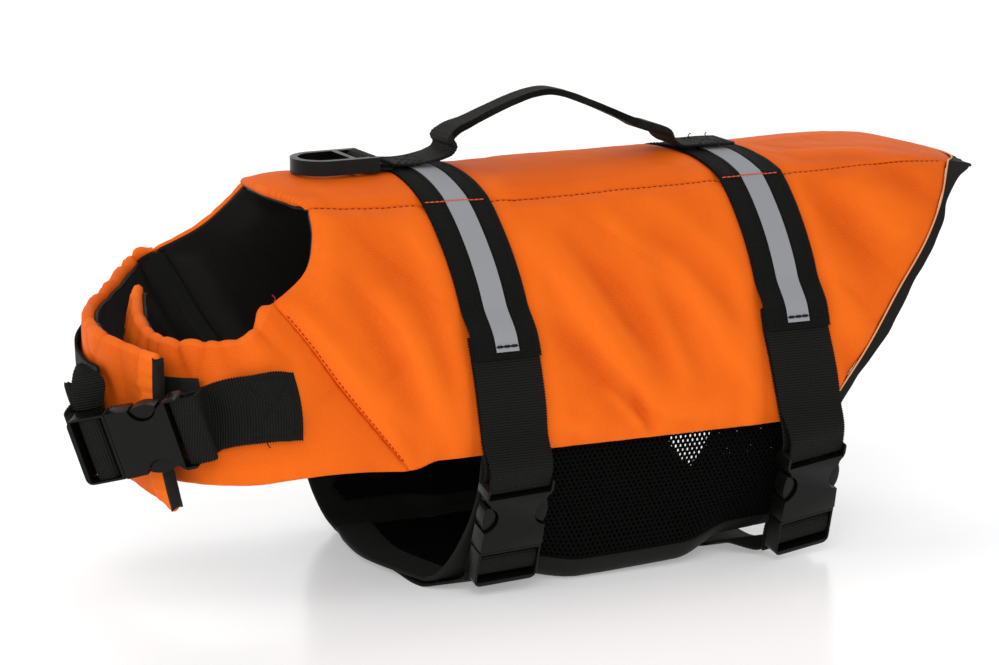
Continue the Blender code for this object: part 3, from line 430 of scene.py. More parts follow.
def webbing_finish(name, colour, rib, bead, gloss):
    """Ribbed webbing: bricks of yarn and painted shade in the gaps, in the given pitches."""
    tree, shader = start_finish(name, colour, gloss, 0.1)
    cloth, u, v = cloth_axes(tree)
    odd = maths(tree, "FLOORED_MODULO", maths(tree, "FLOOR", maths(tree, "DIVIDE", v, rib * MM)), 2)
    ribs = maths(tree, "ABSOLUTE", wave(tree, v, 2 * rib))
    shift = maths(tree, "MULTIPLY", odd, math.pi / 2)
    beads = maths(tree, "ABSOLUTE", wave(tree, u, 2 * bead, shift))
    ribs = maths(tree, "POWER", ribs, 0.8)
    height = maths(tree, "MULTIPLY", ribs, span(tree, beads, 0, 1, 0.3, 1))
    # painted shade: where the height is low, between the bricks, the colour falls to 8 per cent
    gap_shade = tuple(part * 0.08 for part in colour)
    fuzz = mottle(tree, cloth, 0.5, 2)
    tone = blend_colour(tree, height, (*gap_shade, 1), (*colour, 1))
    pale = tuple(part * 2.2 for part in colour)
    tone = blend_colour(tree, maths(tree, "MULTIPLY", fuzz, 0.3), tone, (*pale, 1))
    tree.links.new(tone, shader.inputs["Base Color"])
    emboss(tree, shader, height, 0.6, 1.0)


webbing_finish("black_webbing", (0.0098, 0.0098, 0.0078), RIB, BEAD, 0.62)
webbing_finish("tape_webbing", (0.0070, 0.0070, 0.0062), 1.1, 1.1, 0.68)
webbing_finish("handle_webbing", (0.0150, 0.0138, 0.0120), 1.5, 1.2, 0.58)
print("webbing pitches", RIB, BEAD, "mm")

# %% [markdown]
# ### Tape, plastic, thread
# The reflective tape is grey cloth covered in glass beads: smooth, even and a little metallic. The
# buckles are satin acetal with a spark texture that only shows in the highlights. Thread is a thin
# twisted cord, so it has a soft sheen.

# %% Tape, plastic, thread
tree, shader = start_finish("reflective_tape", (0.29, 0.29, 0.31), 0.5, 0.3)
cloth, u, v = cloth_axes(tree)
speck = mottle(tree, cloth, 0.5, 2)
tape_tone = blend_colour(tree, speck, (0.23, 0.235, 0.25, 1), (0.33, 0.335, 0.355, 1))
tree.links.new(tape_tone, shader.inputs["Base Color"])
emboss(tree, shader, wave(tree, v, 0.9), 0.02, 0.5)

tree, shader = start_finish("black_plastic", (0.0030, 0.0032, 0.0026), 0.28, 0.14)
place = add(tree, "ShaderNodeTexCoord", {}).outputs["Object"]
grain = mottle(tree, place, 0.7, 3)
gloss = span(tree, mottle(tree, place, 9, 2), 0.3, 0.7, 0.24, 0.34)
tree.links.new(gloss, shader.inputs["Roughness"])
emboss(tree, shader, grain, 0.03, 0.6)

for name, colour in (
    ("red_thread", (0.15, 0.016, 0.006)),
    ("bright_thread", (0.36, 0.020, 0.007)),
    ("orange_thread", (0.66, 0.10, 0.035)),
    ("black_thread", (0.0085, 0.0082, 0.0075)),
    # painted highlight: this pale colour is for the cord on the tail edge, not a thread
    ("pale_thread", (0.78, 0.36, 0.17)),
):
    tree, shader = start_finish(name, colour, 0.6, 0.1)
    place = add(tree, "ShaderNodeTexCoord", {}).outputs["Object"]
    emboss(tree, shader, mottle(tree, place, 0.4, 1), 0.08, 0.6)
print(len(FINISHES), "finishes")

# %% [markdown]
# ## The shape of the body
# The jacket is filled as if it was worn. A point of its skin is found by x, from head to tail, and
# by girth, the distance round from the middle of the back, negative on the dog's left. Over the
# back the skin is a crown: height = seam + (crest - seam)(1 - share^2.3). Below the seam it follows
# one cross-section, and what the seam wanders dies out with 3t^2 - 2t^3.

# %% Sizes of the pattern
GAP, LINING, LINING_GAP = 0.3, 1.2, 0.45
FOAM, FOAM_EDGE, FOAM_REACH = 8.0, 3.0, 26.0
HALF_BACK, HEM, DIAGONAL_TOP = 51.5, 198.0, 103.0
CROWN_POWER, BACK_BOW, NECK_BOW, SEAM_HALF = 2.3, 22.0, 8.0, 0.06
SEAM_REACH, DIP_REACH = 50.0, 11.0
WEBBING, WEBBING_THICK, TAPE_WIDTH, TAPE_THICK = 38.0, 1.6, 13.0, 0.6

CREST = table("x up", """
    -157 214,  -146 217,  -130 218,  -95 218,  -67 217,  -38 216,  0 216.2,  55 216,  88 215,
    112 213.8,  138 213,  180 212.2,  231 208.4,  264 202.5""")
BACK_SEAM = table("x out up", """
    -160 44 211.5,  -120 48 208.5,  -67 50 207,  112 50 207,  240 49 206.5,  270 46 201""")
SIDE = table("girth out up", """
    51.5 50 207,  64.5 60 199,  78 70 189,  102 84.5 170,  135.5 98 140,  166 105 110,
    198 108 78""")
EDGE = "girth x"
NECK_EDGE = table(EDGE, "51.5 -149,  71 -154,  90 -167,  103 -187")
DIAGONAL = table(EDGE, "103 -187,  127 -172,  150 -158,  174 -140,  198 -121")
REAR_EDGE = table(EDGE, """
    51.5 240,  83 220,  104 204,  130 181,  160 157,  180 140,  198 126""")


def torso(x, girth):
    """Skin of the padded body at x and at a signed girth."""
    x, girth = np.broadcast_arrays(np.asarray(x, float), np.asarray(girth, float))
    down = np.abs(girth)
    seam_out = read(BACK_SEAM, x, "x", "out")
    seam_up = read(BACK_SEAM, x, "x", "up")
    share = np.minimum(down / HALF_BACK, 1)
    crown = (read(CREST, x, "x", "up") - seam_up) * (1 - share**CROWN_POWER)
    follow = 1 - ramp(down - HALF_BACK, SEAM_REACH)
    side_out = read(SIDE, down, "girth", "out") + (seam_out - SIDE["out"][0]) * follow
    side_up = read(SIDE, down, "girth", "up") + (seam_up - SIDE["up"][0]) * follow
    on_back = down < HALF_BACK
    out = np.where(on_back, seam_out * share, side_out)
    up = np.where(on_back, seam_up + crown, side_up)
    return np.stack([x, np.sign(girth) * out, up], axis=-1)


def torso_outward(x, girth):
    """Unit normal of the skin."""
    return normal(torso, x, girth, 1.5)


def on_torso(x, girth):
    """Points of the skin and their normals."""
    return torso(x, girth), torso_outward(x, girth)


def front_x(girth):
    """X of the front edge: neck edge, bowed forward over the back, then the diagonal seam."""
    down = np.abs(girth)
    neck = NECK_EDGE["x"][0] - NECK_BOW * (1 - (down / HALF_BACK) ** 2)
    low, high = (read(rows, down, "girth", "x") for rows in (DIAGONAL, NECK_EDGE))
    return np.where(down < HALF_BACK, neck, np.where(down > DIAGONAL_TOP, low, high))


def rear_x(girth):
    """X of the rear edge, bowed out over the back."""
    down = np.abs(girth)
    back = REAR_EDGE["x"][0] + BACK_BOW * (1 - (down / HALF_BACK) ** 2)
    return np.where(down < HALF_BACK, back, read(REAR_EDGE, down, "girth", "x"))


print("back seam at", torso(0, -HALF_BACK).round(1), "mm")

# %% [markdown]
# ## How padding creases
# Foam keeps the cloth smooth, and the cloth wrinkles where something holds it. Three things happen
# here. Long soft folds run across a panel: height times a bell across the fold and a fading along
# it. Short gathers stand at right angles to each seam, because the thread draws the edge in. And
# a strap presses its bed into the foam, with a small swell beside it.

# %% Folds, gathers and strap beds
Strap = namedtuple("Strap", "name x_seam x_end x_buckle x_skew lift")
STRAPS = [
    Strap("front", -67, -63, -60.2, -73, 0),
    Strap("rear", 112, 112, 118.7, 98, 4),
]
STRAP_END, TAPE_END, UNDER_STRAP = 145.5, 142.5, 12.0

FOLD = "x0 girth0 x1 girth1 width height bow"


def bell(distance, width):
    """exp(-(distance / width)^2): 1 at no distance, and nearly 0 from twice the width on."""
    return np.exp(-((distance / width) ** 2))


def folds(rows, x, girth):
    """Sum over a table of height * (1 - (2t-1)^2) * exp(-(distance / width)^2).

    t runs from 0 to 1 along the fold, and bow bends its line sideways by bow * 4t(1-t).
    """
    x, girth = np.broadcast_arrays(x, girth)
    x0, g0, x1, g1, width, height, bow = rows.values()
    run = np.hypot(x1 - x0, g1 - g0)
    dx, dg = x[..., None] - x0, girth[..., None] - g0
    t = (dx * (x1 - x0) + dg * (g1 - g0)) / run**2
    off = (dx * (g1 - g0) - dg * (x1 - x0)) / run - bow * 4 * t * (1 - t)
    fading = np.clip(1 - (2 * t - 1) ** 2, 0, 1)
    return (height * fading * bell(off, width)).sum(axis=-1)


def gathers(along, away, pitch, reach, height, seed):
    """Puckers of a seam: sharp valleys between round ridges, fading away from the seam.

    Phase = distance along / pitch, let drift by noise. Height = (|sin| - 0.6) * exp(-away / reach),
    with reach and height uneven along the seam.
    """
    phase = along / pitch + 0.55 * drift(along, 0.0, pitch * 1.7, seed)
    uneven = 0.75 + 0.5 * drift(along, 0.0, pitch * 0.9, seed + 1)
    ridge = np.abs(np.sin(math.pi * phase)) - 0.6
    return height * uneven * ridge * np.exp(-away / (reach * uneven))


def gathered(relief, which, seams):
    """A relief with the gathers of its seams, which differ a little from side to side."""
    for *sizes, seed in seams:
        relief = relief + gathers(*sizes, seed + which)
    return relief


def strap_x(strap, girth):
    """X of a strap's middle line over the back and sides."""
    share = np.clip((np.abs(girth) - HALF_BACK) / (STRAP_END - HALF_BACK), 0, 1)
    return strap.x_seam + (strap.x_end - strap.x_seam) * share


BED_CLEAR, BED_DEEP, BED_EDGE = 14, 0.9, 5
SWELL_HIGH, SWELL_AT, SWELL_WIDE = 0.7, 9, 6


def strap_beds(x, girth, relief):
    """Press the straps' beds into a relief: flat below a strap, a swell just beside it."""
    for strap in STRAPS:
        away = np.abs(x - strap_x(strap, girth)) - WEBBING / 2
        relief = relief * ramp(away, BED_CLEAR) - BED_DEEP * (1 - ramp(away + 1, BED_EDGE))
        relief = relief + SWELL_HIGH * bell(away - SWELL_AT, SWELL_WIDE)
    return relief


PUCKER = "at depth width reach lean"


def puckers(rows, along, down):
    """Pinches of a rim: sum of depth * exp(-|off| / width) * exp(-(down / reach)^2).

    Off is the distance from the pinch's line, which starts at `at` on the rim and leans with depth.
    """
    along, down = np.broadcast_arrays(along, down)
    at, depth, width, reach, lean = rows.values()
    off = np.abs(along[..., None] - at - lean * down[..., None])
    wide = width * (1 + down[..., None] / 30)
    return (depth * np.exp(-off / wide - (down[..., None] / reach) ** 2)).sum(axis=-1)


Hem = namedtuple("Hem", "thick dip groove")
SEWN, ROLLED = Hem(FOAM_EDGE, 1.5, 0.9), Hem(5.5, 0.6, 0)
RIM, FLAT, SIDE_HEM = Hem(7.5, 0.4, 0), Hem(5.0, 1.0, 0), Hem(FOAM_EDGE, 0.8, 0.3)


GROOVE_WIDE = 1.4


def padded(points, outward, hems, relief):
    """Skin and inner face of a padded panel.

    Thickness grows from each hem to the full foam. The skin dips by a soft ramp toward a seam, and
    by a narrow groove exp(-distance / GROOVE_WIDE) at the thread.
    """
    thick = np.full(points.shape[:2], FOAM)
    dip = np.zeros(points.shape[:2])
    for distance, hem in zip(lengths(points), hems):
        thick = np.minimum(thick, hem.thick + (FOAM - hem.thick) * ramp(distance, FOAM_REACH))
        dip = np.maximum(dip, hem.dip * (1 - ramp(distance, DIP_REACH)))
        dip = dip + hem.groove * np.exp(-distance / GROOVE_WIDE)
    inner = points - outward * (thick + dip * 0.5)[..., None]
    return points + outward * (relief - dip)[..., None], inner


print("a fold of height 2 is", folds(table(FOLD, "0 0 10 0 5 2 0"), 5.0, 0.0).round(2), "high")

# %% [markdown]
# ## Back and side panels
# Five padded panels carry the orange cloth. A panel could be simulated under pressure, but the foam
# is a flat sheet, so its skin hardly swells, and the folds have to lie where the straps pull them.
# So the folds are listed in a table for each side, and the gathers follow every seam.

# %% Folds of the panels
BACK_FOLDS = table(FOLD, """
    -52 -46 -14 -8 7 0.9 3,  -30 -50 26 -34 8 -0.7 2,  40 -44 96 -30 7 0.8 -3,
    60 -20 100 -46 6 -0.6 2,  136 -20 214 -30 6 0.9 2,  140 -36 226 -44 5 -0.8 2,
    150 -4 236 -12 8 0.7 3,  -146 -30 -96 -42 8 0.7 -3,  -140 20 -92 36 9 0.7 2,
    -40 20 20 40 8 0.8 3,  40 34 98 16 7 0.7 -2,  140 16 226 34 7 0.8 2""")
SIDE_FOLDS = {
    LEFT: table(FOLD, """
        -184 98 -118 196 7 1.7 2,  -148 88 -108 192 8 -1.7 2,  -128 98 -96 188 8 1.5 2,
        -114 78 -88 186 7 -1.3 2,  -112 56 -82 110 8 1.4 3,  -132 62 -110 116 8 -1 1,
        -143 54 -160 110 9 1.1 0,  -150 150 -112 196 5 -0.8 1,  -34 72 32 196 9 2.6 -2,
        -16 72 40 172 7 -2 0,  12 56 48 174 7 1.7 1,  18 80 60 180 7 -1.7 0,
        42 58 92 124 8 1.4 2,  44 92 94 188 9 1.9 -1,  34 76 88 148 6 -1.1 1,
        -42 122 26 194 9 -2.1 3,  -6 164 20 194 3.4 1.9 0,  9 166 25 196 2.8 -2 0,
        26 184 74 190 5 1.2 2,  -42 176 -8 190 5 1 -2,  140 56 170 132 11 -1.6 4,
        162 58 196 112 12 1.5 4,  134 104 160 162 8 1.3 -3,  186 54 222 84 9 -1.2 2,
        132 148 148 180 5 -1.1 1"""),
    RIGHT: table(FOLD, """
        -40 78 30 150 10 1.7 3,  -36 112 8 184 9 -1.4 3,  0 96 70 180 10 1.4 -4,
        30 72 90 130 11 -1.1 4,  44 150 90 192 7 1 2,  -146 78 -104 160 10 1.2 5,
        -120 66 -92 130 8 -1 3,  -130 140 -88 192 8 0.9 -4,  140 62 170 130 11 -1.1 4,
        168 64 192 108 11 1 4,  136 120 156 158 7 0.8 -3"""),
}


def cloth_drift(x, girth, seed):
    """The small unevenness of cloth over foam: drift at 42 mm and at 15 mm, stretched slantwise.

    Fine creases lie where a third drift crosses zero: -0.6 * exp(-(drift / 0.1)^2), here and there.
    """
    slant, square = x + 0.8 * girth, girth - 0.8 * x
    slow = 0.55 * drift(slant, square * 0.6, 42, seed)
    crossing = drift(slant, square * 0.4, 34, seed + 3)
    here = np.clip(drift(slant, square, 58, seed + 5) + 0.15, 0, 1)
    crease = 0.6 * np.exp(-((crossing / 0.1) ** 2)) * here
    return slow + 0.22 * drift(slant, square * 0.5, 15, seed + 7) - crease


print("folds on the left side:", len(SIDE_FOLDS[LEFT]["x0"]))

# %% Cut the back and the sides
SKINS = {}
LINING_PATCH, LINING_SLACK = 24, 0.7


def panel(name, points, outward, hems, relief, swell, where, lining_seed, tone=0):
    """Make a padded panel and its lining, which waves a little on the inside."""
    skin, inner = padded(points, outward, hems, relief)
    SKINS[name] = skin
    # relief plus tone is the fold value that paints shade and highlights into the orange cloth
    piece = wall(name, skin, inner, "orange_cloth", swell, where, relief + tone)
    outer = inner - outward * LINING_GAP
    slack = 0.5 + 0.5 * drift(where[..., 0], where[..., 1], LINING_PATCH, lining_seed)
    low = outer - outward * (LINING + LINING_SLACK * slack)[..., None]
    every = (slice(None, None, 2), slice(None, None, 2))
    lining = wall(f"{name}_lining_cloth", outer[every], low[every], "black_lining", uv=where[every])
    return piece, lining


def body_x(girth, columns):
    """X of a panel's grid, from the front edge to the rear edge in even steps."""
    front = front_x(girth) + SEAM_HALF
    return front + (rear_x(girth) - front) * np.linspace(0, 1, columns)[None, :]


RING_BED_X, RING_BED_HALF, RING_BED_REACH = -92, 34, 12


def back_panel():
    """The crowned back panel, with nearly no relief under the ring and the handle's front end."""
    top = HALF_BACK - SEAM_HALF
    girth = np.linspace(-top, top, 69)[:, None]
    x = body_x(girth, 217)
    girth = girth + 0 * x
    points, outward = on_torso(x, girth)
    relief = cloth_drift(x, girth, 3) + folds(BACK_FOLDS, x, girth)
    for way in (LEFT, RIGHT):
        relief = relief + gathers(x, top - way * girth, 11, 6, 0.55, 20 + way)
    relief = strap_beds(x, girth, relief)
    clear = ramp(np.abs(x - RING_BED_X) - RING_BED_HALF, RING_BED_REACH)
    relief = relief * clear * 0.85 + 0.15 * relief - 0.3
    hems, where = (SEWN, SEWN, ROLLED, SEWN), np.stack([x, girth], axis=-1)
    return panel("back_foam", points, outward, hems, relief, (0, 0, 2.2, 0), where, 5)


HEM_LIFT, HEM_POINT = 3.6, -123.0  # the hem is drawn up, but for a point below the slanted seam


def side_girths(which):
    """Girths of a side panel's rows, from its first row to its last."""
    rows = np.linspace(HALF_BACK + SEAM_HALF, HEM, 77)
    return which * rows[::which]


def side_panel(which, word):
    """One side panel, from the back seam to the hem."""
    girth = side_girths(which)[:, None]
    hem_share = ((np.abs(girth) - HALF_BACK) / (HEM - HALF_BACK)) ** 2
    lifted = ramp(np.abs(body_x(girth, 203) - HEM_POINT) - 3, 20)
    girth = girth - which * HEM_LIFT * hem_share * lifted
    x = body_x(girth, 203)
    points, outward = on_torso(x, girth)
    down = np.abs(girth)
    front, rear = lengths(points)[2:]
    relief = 1.2 * cloth_drift(x, girth, 11 + which) + 1.3 * folds(SIDE_FOLDS[which], x, down)
    seams = (
        (x, down - HALF_BACK, 12, 7, 0.6, 31),
        (x, HEM - HEM_LIFT - down, 15, 9, 0.5, 41),
        (down, front, 8, 7, 0.7, 51),
        (down, rear, 16, 6, 0.35, 61),
    )
    relief = strap_beds(x, girth, gathered(relief, which, seams))
    hems, swell = (SEWN, SIDE_HEM)[::which], (0, 1.4)[::which]
    where = np.stack([x, girth], axis=-1)
    return panel(
        f"side_foam_{word}", points, outward, (*hems, SEWN, SEWN), relief, (*swell, 0, 0), where, 9
    )


panels = {"back": back_panel()}
for which, word in SIDES:
    panels[word] = side_panel(which, word)
print("back and its lining:", [len(piece.data.polygons) for piece in panels["back"]], "faces")

# %% [markdown]
# ## Neck flaps
# Each flap starts at the slanted seam and bends round the chest. The table gives its top and its
# hem at nine stations past the seam, and the band between them bulges by 4h(1-h) of its height h.
# The rim is turned over and gathered, which is why its edge runs in scallops.

# %% Flap surface
BAND = "x_top out_top up_top x_low out_low up_low bulge"
FLAPS = {
    LEFT: table(BAND, """
        -196 90 159 -152 108 80 5,  -207 93 151.5 -182 106 79.5 5,  -219 88 150 -205 101 77.5 4.5,
        -229 77 149 -222 91 77 4,  -236 60 147 -234 74 76 4,  -238 35 146 -240 45 74 4,
        -233 5 147 -238 10 72 4,  -224 -25 150 -230 -22 72 3.5,  -214 -44 154 -219 -44 74 3"""),
    RIGHT: table(BAND, """
        -195 93 162.5 -152 108 80 5,  -205.5 86.5 159.5 -182 106 79 4,
        -217.5 71.5 156.5 -205 96 78 3,  -234.5 52.5 152 -225.5 71 76 2.5,
        -249.5 30.5 149 -240.5 39.5 75 2,  -259 5 147 -249 8.5 75 2,
        -262.5 -22 145.5 -253 -20.5 75 2.5,  -258 -48 143.5 -253 -49 72 3,
        -250.5 -73 142 -243.5 -79 63.5 4"""),
}


def flap_surface(which, shares, heights=None):
    """Points and normals of a flap's skin, at shares of its length and of its height."""
    heights = np.linspace(0, 1, 7) if heights is None else np.asarray(heights, float)
    girths = which * (DIAGONAL_TOP + heights * (HEM - DIAGONAL_TOP))
    seam_x = front_x(girths) - SEAM_HALF
    *corners, bulge = FLAPS[which].values()
    tops, lows = (np.stack(three, axis=1) * (1, which, 1) for three in (corners[:3], corners[3:]))
    bands = tops[:, None] + (lows - tops)[:, None] * heights[None, :, None]
    stations = np.concatenate([torso(seam_x, girths)[None], bands])
    lean = np.cross(np.gradient(stations, axis=0), stations[:, -1:] - stations[:, :1]) * -which
    bulge = np.concatenate([[0], bulge])[:, None] * 4 * heights * (1 - heights)
    stations = stations + unit(lean) * bulge[..., None]
    length = measured(strides(stations.mean(axis=1)))
    at = np.asarray(shares, float) * length[-1]
    flat = stations.reshape(len(stations), -1)
    rows = np.stack([smooth(at, length, flat[:, k]) for k in range(flat.shape[1])], axis=1)
    points = rows.reshape(len(at), len(heights), 3).transpose(1, 0, 2)
    outward = facing(points) * which
    seam_lean = torso_outward(seam_x, girths)[:, None]
    near_seam = 1 - ramp(at, 14)[None, :, None]
    return points, unit(outward * (1 - near_seam) + seam_lean * near_seam), at


print("left flap is", flap_surface(LEFT, [0.0, 1.0])[2][-1].round(), "mm long")

# %% Cut the flaps
FLAP_FOLDS = {
    LEFT: table(FOLD, """
        18 36 60 30 7 1.2 3,  44 14 60 44 5 -1.4 2,  62 12 78 40 5 1.2 -2,  20 80 96 70 9 1.1 3,
        84 20 100 50 6 -1 2,  6 20 30 52 7 0.9 2"""),
    RIGHT: table(FOLD, """
        96 10 112 46 6 -1.2 2,  124 12 140 50 6 1.2 -3,  150 40 196 30 6 1.2 3,
        170 56 212 44 6 -1 3,  186 12 204 40 5 -1.2 2,  20 20 60 44 8 1 3,
        30 70 90 78 8 -0.9 2"""),
}
RIM_PUCKERS = {
    LEFT: table(PUCKER, """
        24 2.2 4 30 -0.25,  46 1 5 15 0.3,  61 1.9 6 17 -0.35,  73 2.6 3.6 22 0.35,
        94 3.2 4 27 -0.5,  113 1.8 3.5 20 0.3,  131 2.8 4 24 -0.2,  149 2.4 3.6 20 0.3,
        176 1.6 4 22 0,  200 1.4 4 18 -0.2"""),
    RIGHT: table(PUCKER, """
        20 1.6 3.5 20 0.2,  43 2.2 4.2 22 -0.2,  69 1.8 3.2 18 0.4,  90 2.5 4.5 22 0.1,
        117 1.7 3.2 20 -0.3,  146 2.7 4.2 27 -0.3,  166 1.3 2.6 30 0.5,  187 1.5 3 24 -0.6,
        206 1.1 2.6 30 0.3,  224 0.9 2.4 18 -0.2"""),
}
RIM_DROP, DROP_REACH, RIM_SWELL, CORNER_SWELL = 0.8, 20.0, 3.4, 2.4
TURN_IN, TURNED_UP = 10.0, 0.7  # how far the cloth is turned in at a flap's end, and its rise


def neck_flap(which, word, columns):
    """One padded neck flap: its rim is pinched, and drops a little at every pinch."""
    points, outward, at = flap_surface(which, np.linspace(0, 1, columns), np.linspace(0, 1, 63))
    from_top, from_hem, _, from_end = lengths(points)
    along = at[None, :] + 0 * from_top
    pinched = 0.85 * puckers(RIM_PUCKERS[which], along, from_top)
    drop = RIM_DROP * puckers(RIM_PUCKERS[which], at, 0)[None, :] * (1 - ramp(from_top, DROP_REACH))
    points = points + unit(np.gradient(points, axis=0)) * drop[..., None]
    swollen = 0.9 * (0.5 + 0.5 * drift(along, 0, 19, 95 + which)) * (1 - ramp(from_top - 6, 16))
    relief = swollen - pinched + cloth_drift(along, from_top, 71 + which)
    relief = relief + folds(FLAP_FOLDS[which], along, from_top)
    relief = relief + gathers(along, from_top, 7.5, 8, 0.45, 81 + which) * ramp(along, 12)
    seams = (
        (along, from_hem, 14, 10, 0.6, 101),
        (from_top, at[None, :], 9, 6, 0.6, 111),
        (from_top, from_end, 6, 9, 1.1, 121),
    )
    relief = gathered(relief, which, seams)
    ragged = TURN_IN + 1.5 * drift(from_top, 0, 5, 131) + 1.0 * drift(from_top, 0, 1.8, 132)
    turned_in = TURNED_UP * (1 - ramp(from_end - ragged, 1.6))
    relief = relief + turned_in - TURNED_UP / 2
    # the turned-in strip is drawn lighter, as tone raises its fold value
    tone = 2.6 * turned_in * (1 + 0.5 * drift(from_top, from_end * 0.2, 1.6, 133))
    where = np.stack([along, from_top], axis=-1)
    swell = (RIM_SWELL + CORNER_SWELL * bell(at - 13, 7)) * ramp(at + 0.6, 9), 1.8, 0, 0.8
    hems = (RIM, FLAT, SEWN, FLAT)
    return panel(f"neck_foam_{word}", points, outward, hems, relief, swell, where, 13, tone)


panels["neck_left"] = neck_flap(LEFT, "left", 109)
panels["neck_right"] = neck_flap(RIGHT, "right", 173)
print("left flap and its lining:", [len(piece.data.polygons) for piece in panels["neck_left"]])

# %% [markdown]
# ## Edges of the padded panels
# A black tape frames the tail edge from hem to hem and waves a little, because it was stretched
# while it was sewn on. A second tape closes the free end of the outer flap. Both are walls on the
# body's own skin. Where the tail tape meets the orange cloth, a thin pale cord is a painted
# highlight for the light caught by the cloth's folded edge.

# %% Tapes of the tail edge and of the outer flap
TAIL_WIDTH, CORNER_WIDER, CORNER_REACH = 7.6, 6.5, 8
BELOW_NARROWER, BELOW_AT, BELOW_REACH = 4.2, 27, 12


def tail_tape():
    """Black tape on the tail edge: 8 mm wide with waves, narrow below the corner, wide on it."""
    girth = np.linspace(-HEM, HEM, 397)[:, None]
    wave_out = 1.2 * np.sin(girth / 13.0) + 0.8 * drift(girth, 0, 9, 4) + TAIL_WIDTH
    from_corner = np.abs(girth) - HALF_BACK
    wave_out = wave_out + CORNER_WIDER * bell(from_corner, CORNER_REACH)
    wave_out = wave_out - BELOW_NARROWER * bell(from_corner - BELOW_AT, BELOW_REACH)
    share = np.linspace(0, 1, 9)[None, :]
    x = rear_x(girth) + 0.5 + wave_out * share
    points, outward = on_torso(x, girth)
    ripple = 0.5 * drift(girth, 0, 7, 6) * share
    outer = points - outward * (1.9 + 1.0 * share - ripple)[..., None]
    where = np.stack([x, girth + 0 * x], axis=-1)
    return wall("tail_tape", outer, outer - outward * 1.8, "black_binding", (0, 0, 0, 0.9), where)


def flap_tape():
    """Black cloth round the free end of the outer flap, swollen by the foam inside it."""
    points, outward, _ = flap_surface(RIGHT, np.linspace(0.985, 1, 4), np.linspace(0, 1, 61))
    ahead = unit(points[:, -1] - points[:, -2])
    depth = 5.0 + LINING_GAP + LINING
    share = np.linspace(0, 1, 13)[None, :]
    sunk = (0.1 + depth * share)[..., None]
    base = (points[:, -1] + ahead * 0.3)[:, None] - outward[:, -1][:, None] * sunk
    rows = np.arange(61.0)[:, None] / 60
    round_ends = (1 - np.abs(2 * rows - 1) ** 5) ** 0.5
    bulge = 0.9 + 3.6 * round_ends * np.sin(math.pi * (0.12 + 0.82 * share)) ** 0.8
    bulge = bulge + 0.45 * drift(rows * 90, share * 9, 6, 8)
    outer = base + ahead[:, None] * bulge[..., None]
    return wall("flap_tape", outer, base, "black_binding", (1.4, 1.4, 0.3, 0.3))


edges = {"rear_binding": tail_tape(), "flap_edge_right": flap_tape()}
stand_for(edges)

# %% [markdown]
# ## Belly panel
# Under the belly the jacket is open mesh in a frame of wide tape. Its cross-section is one table,
# from the left hem round underneath to the right hem, and toward the tail the panel is drawn in and
# up with the square of the way. A distance round the section finds a point on it.

# %% Belly surface
BELLY = table("across up x_front x_rear band draw_in draw_up", """
    -96.6 92 -70 130 9 0 0,  -97 78 -72 128 9 0 0,  -95 55 -74 127 9 1 1,  -89 33 -79 125 11 3 3,
    -80 15 -85 122 15 5 6,  -72.5 7 -88 120 18 6 7,  -62 2.6 -90 118 20 7 8,
    -35 2.3 -95 116 21 4 8,  0 2.3 -99 114 21 0 8,  35 2.3 -94 116 21 -4 8,
    62 2.6 -88 118 20 -7 8,  72.5 7 -89 120 18 -6 7,  80 15 -91 122 16 -5 6,
    89 33 -94 125 15 -3 3,  95 55 -92 127 12 -1 1,  97 78 -88 128 10 0 0,
    96.6 92 -86 130 10 0 0""")
REAR_BAND, BINDING_THICK = 10.0, 2.8
ROUND_BELLY = measured(np.hypot(np.diff(BELLY["across"]), np.diff(BELLY["up"])))


def belly_value(name, at):
    """A column of the belly's table at a distance round it."""
    return smooth(at, ROUND_BELLY, BELLY[name])


SAG_CORNER, SAG_WIDTH, SAG_OUT, SAG_DOWN, SAG_FROM, SAG_TO, SAG_RAMP = 92, 24, 11, 6, -45, 88, 36


def belly_points(x, at):
    """Points of the outer face.

    Place = section + draw * share^2, where share goes from 0 at the front to 1 at the rear edge.
    Between the straps the corner of the section hangs out and down by a bell round the belly.
    """
    front, rear = belly_value("x_front", at), belly_value("x_rear", at)
    share = ((x - front) / (rear - front)).clip(0, 1) ** 2
    across = belly_value("across", at) + belly_value("draw_in", at) * share
    up = np.maximum(belly_value("up", at), 2.3) + belly_value("draw_up", at) * share
    from_hem = np.minimum(at, ROUND_BELLY[-1] - at)
    loose = ramp(x - SAG_FROM, SAG_RAMP) * ramp(SAG_TO - x, SAG_RAMP)
    loose = loose * bell(from_hem - SAG_CORNER, SAG_WIDTH)
    across = across + np.sign(across) * SAG_OUT * loose
    up = np.maximum(up - SAG_DOWN * loose, 0.9)
    return np.stack([x + 0 * at, across, up], axis=-1)


def belly_inward(x, at):
    """Normal into the hollow."""
    return normal(belly_points, x, at, 1)


print("belly panel is", ROUND_BELLY[-1].round(), "mm round")

# %% Tapes of the belly panel
def belly_tape(name, first, last, x_from, x_to, size, swell):
    """Wide folded tape on the belly, between two rows of its table and two of its lines."""
    rows, cols = size
    at = np.linspace(ROUND_BELLY[first], ROUND_BELLY[last], rows)[:, None] + np.zeros((1, cols))
    low, high = belly_line(x_from, at[:, :1]), belly_line(x_to, at[:, :1])
    share = np.linspace(0, 1, cols)[None, :]
    x = low + (high - low) * share
    points, inward = belly_points(x, at), belly_inward(x, at)
    body = 0.35 * (np.sin(math.pi * share) ** 0.5) - 0.25 + 0.3 * drift(x, at, 19, first + 3)
    outer = points - inward * (0.25 * body)[..., None]
    inner = points + inward * (BINDING_THICK + 0.4 * body)[..., None]
    where = np.stack([x, at], axis=-1)
    return wall(name, outer, inner, "black_binding", swell, where)


def belly_line(which, at):
    """X of the belly's front or rear edge, or of the line where its tape ends."""
    x = belly_value(f"x_{which.split()[0]}", at)
    if which == "front inner":
        return x + belly_value("band", at)
    return x - REAR_BAND if which == "rear inner" else x


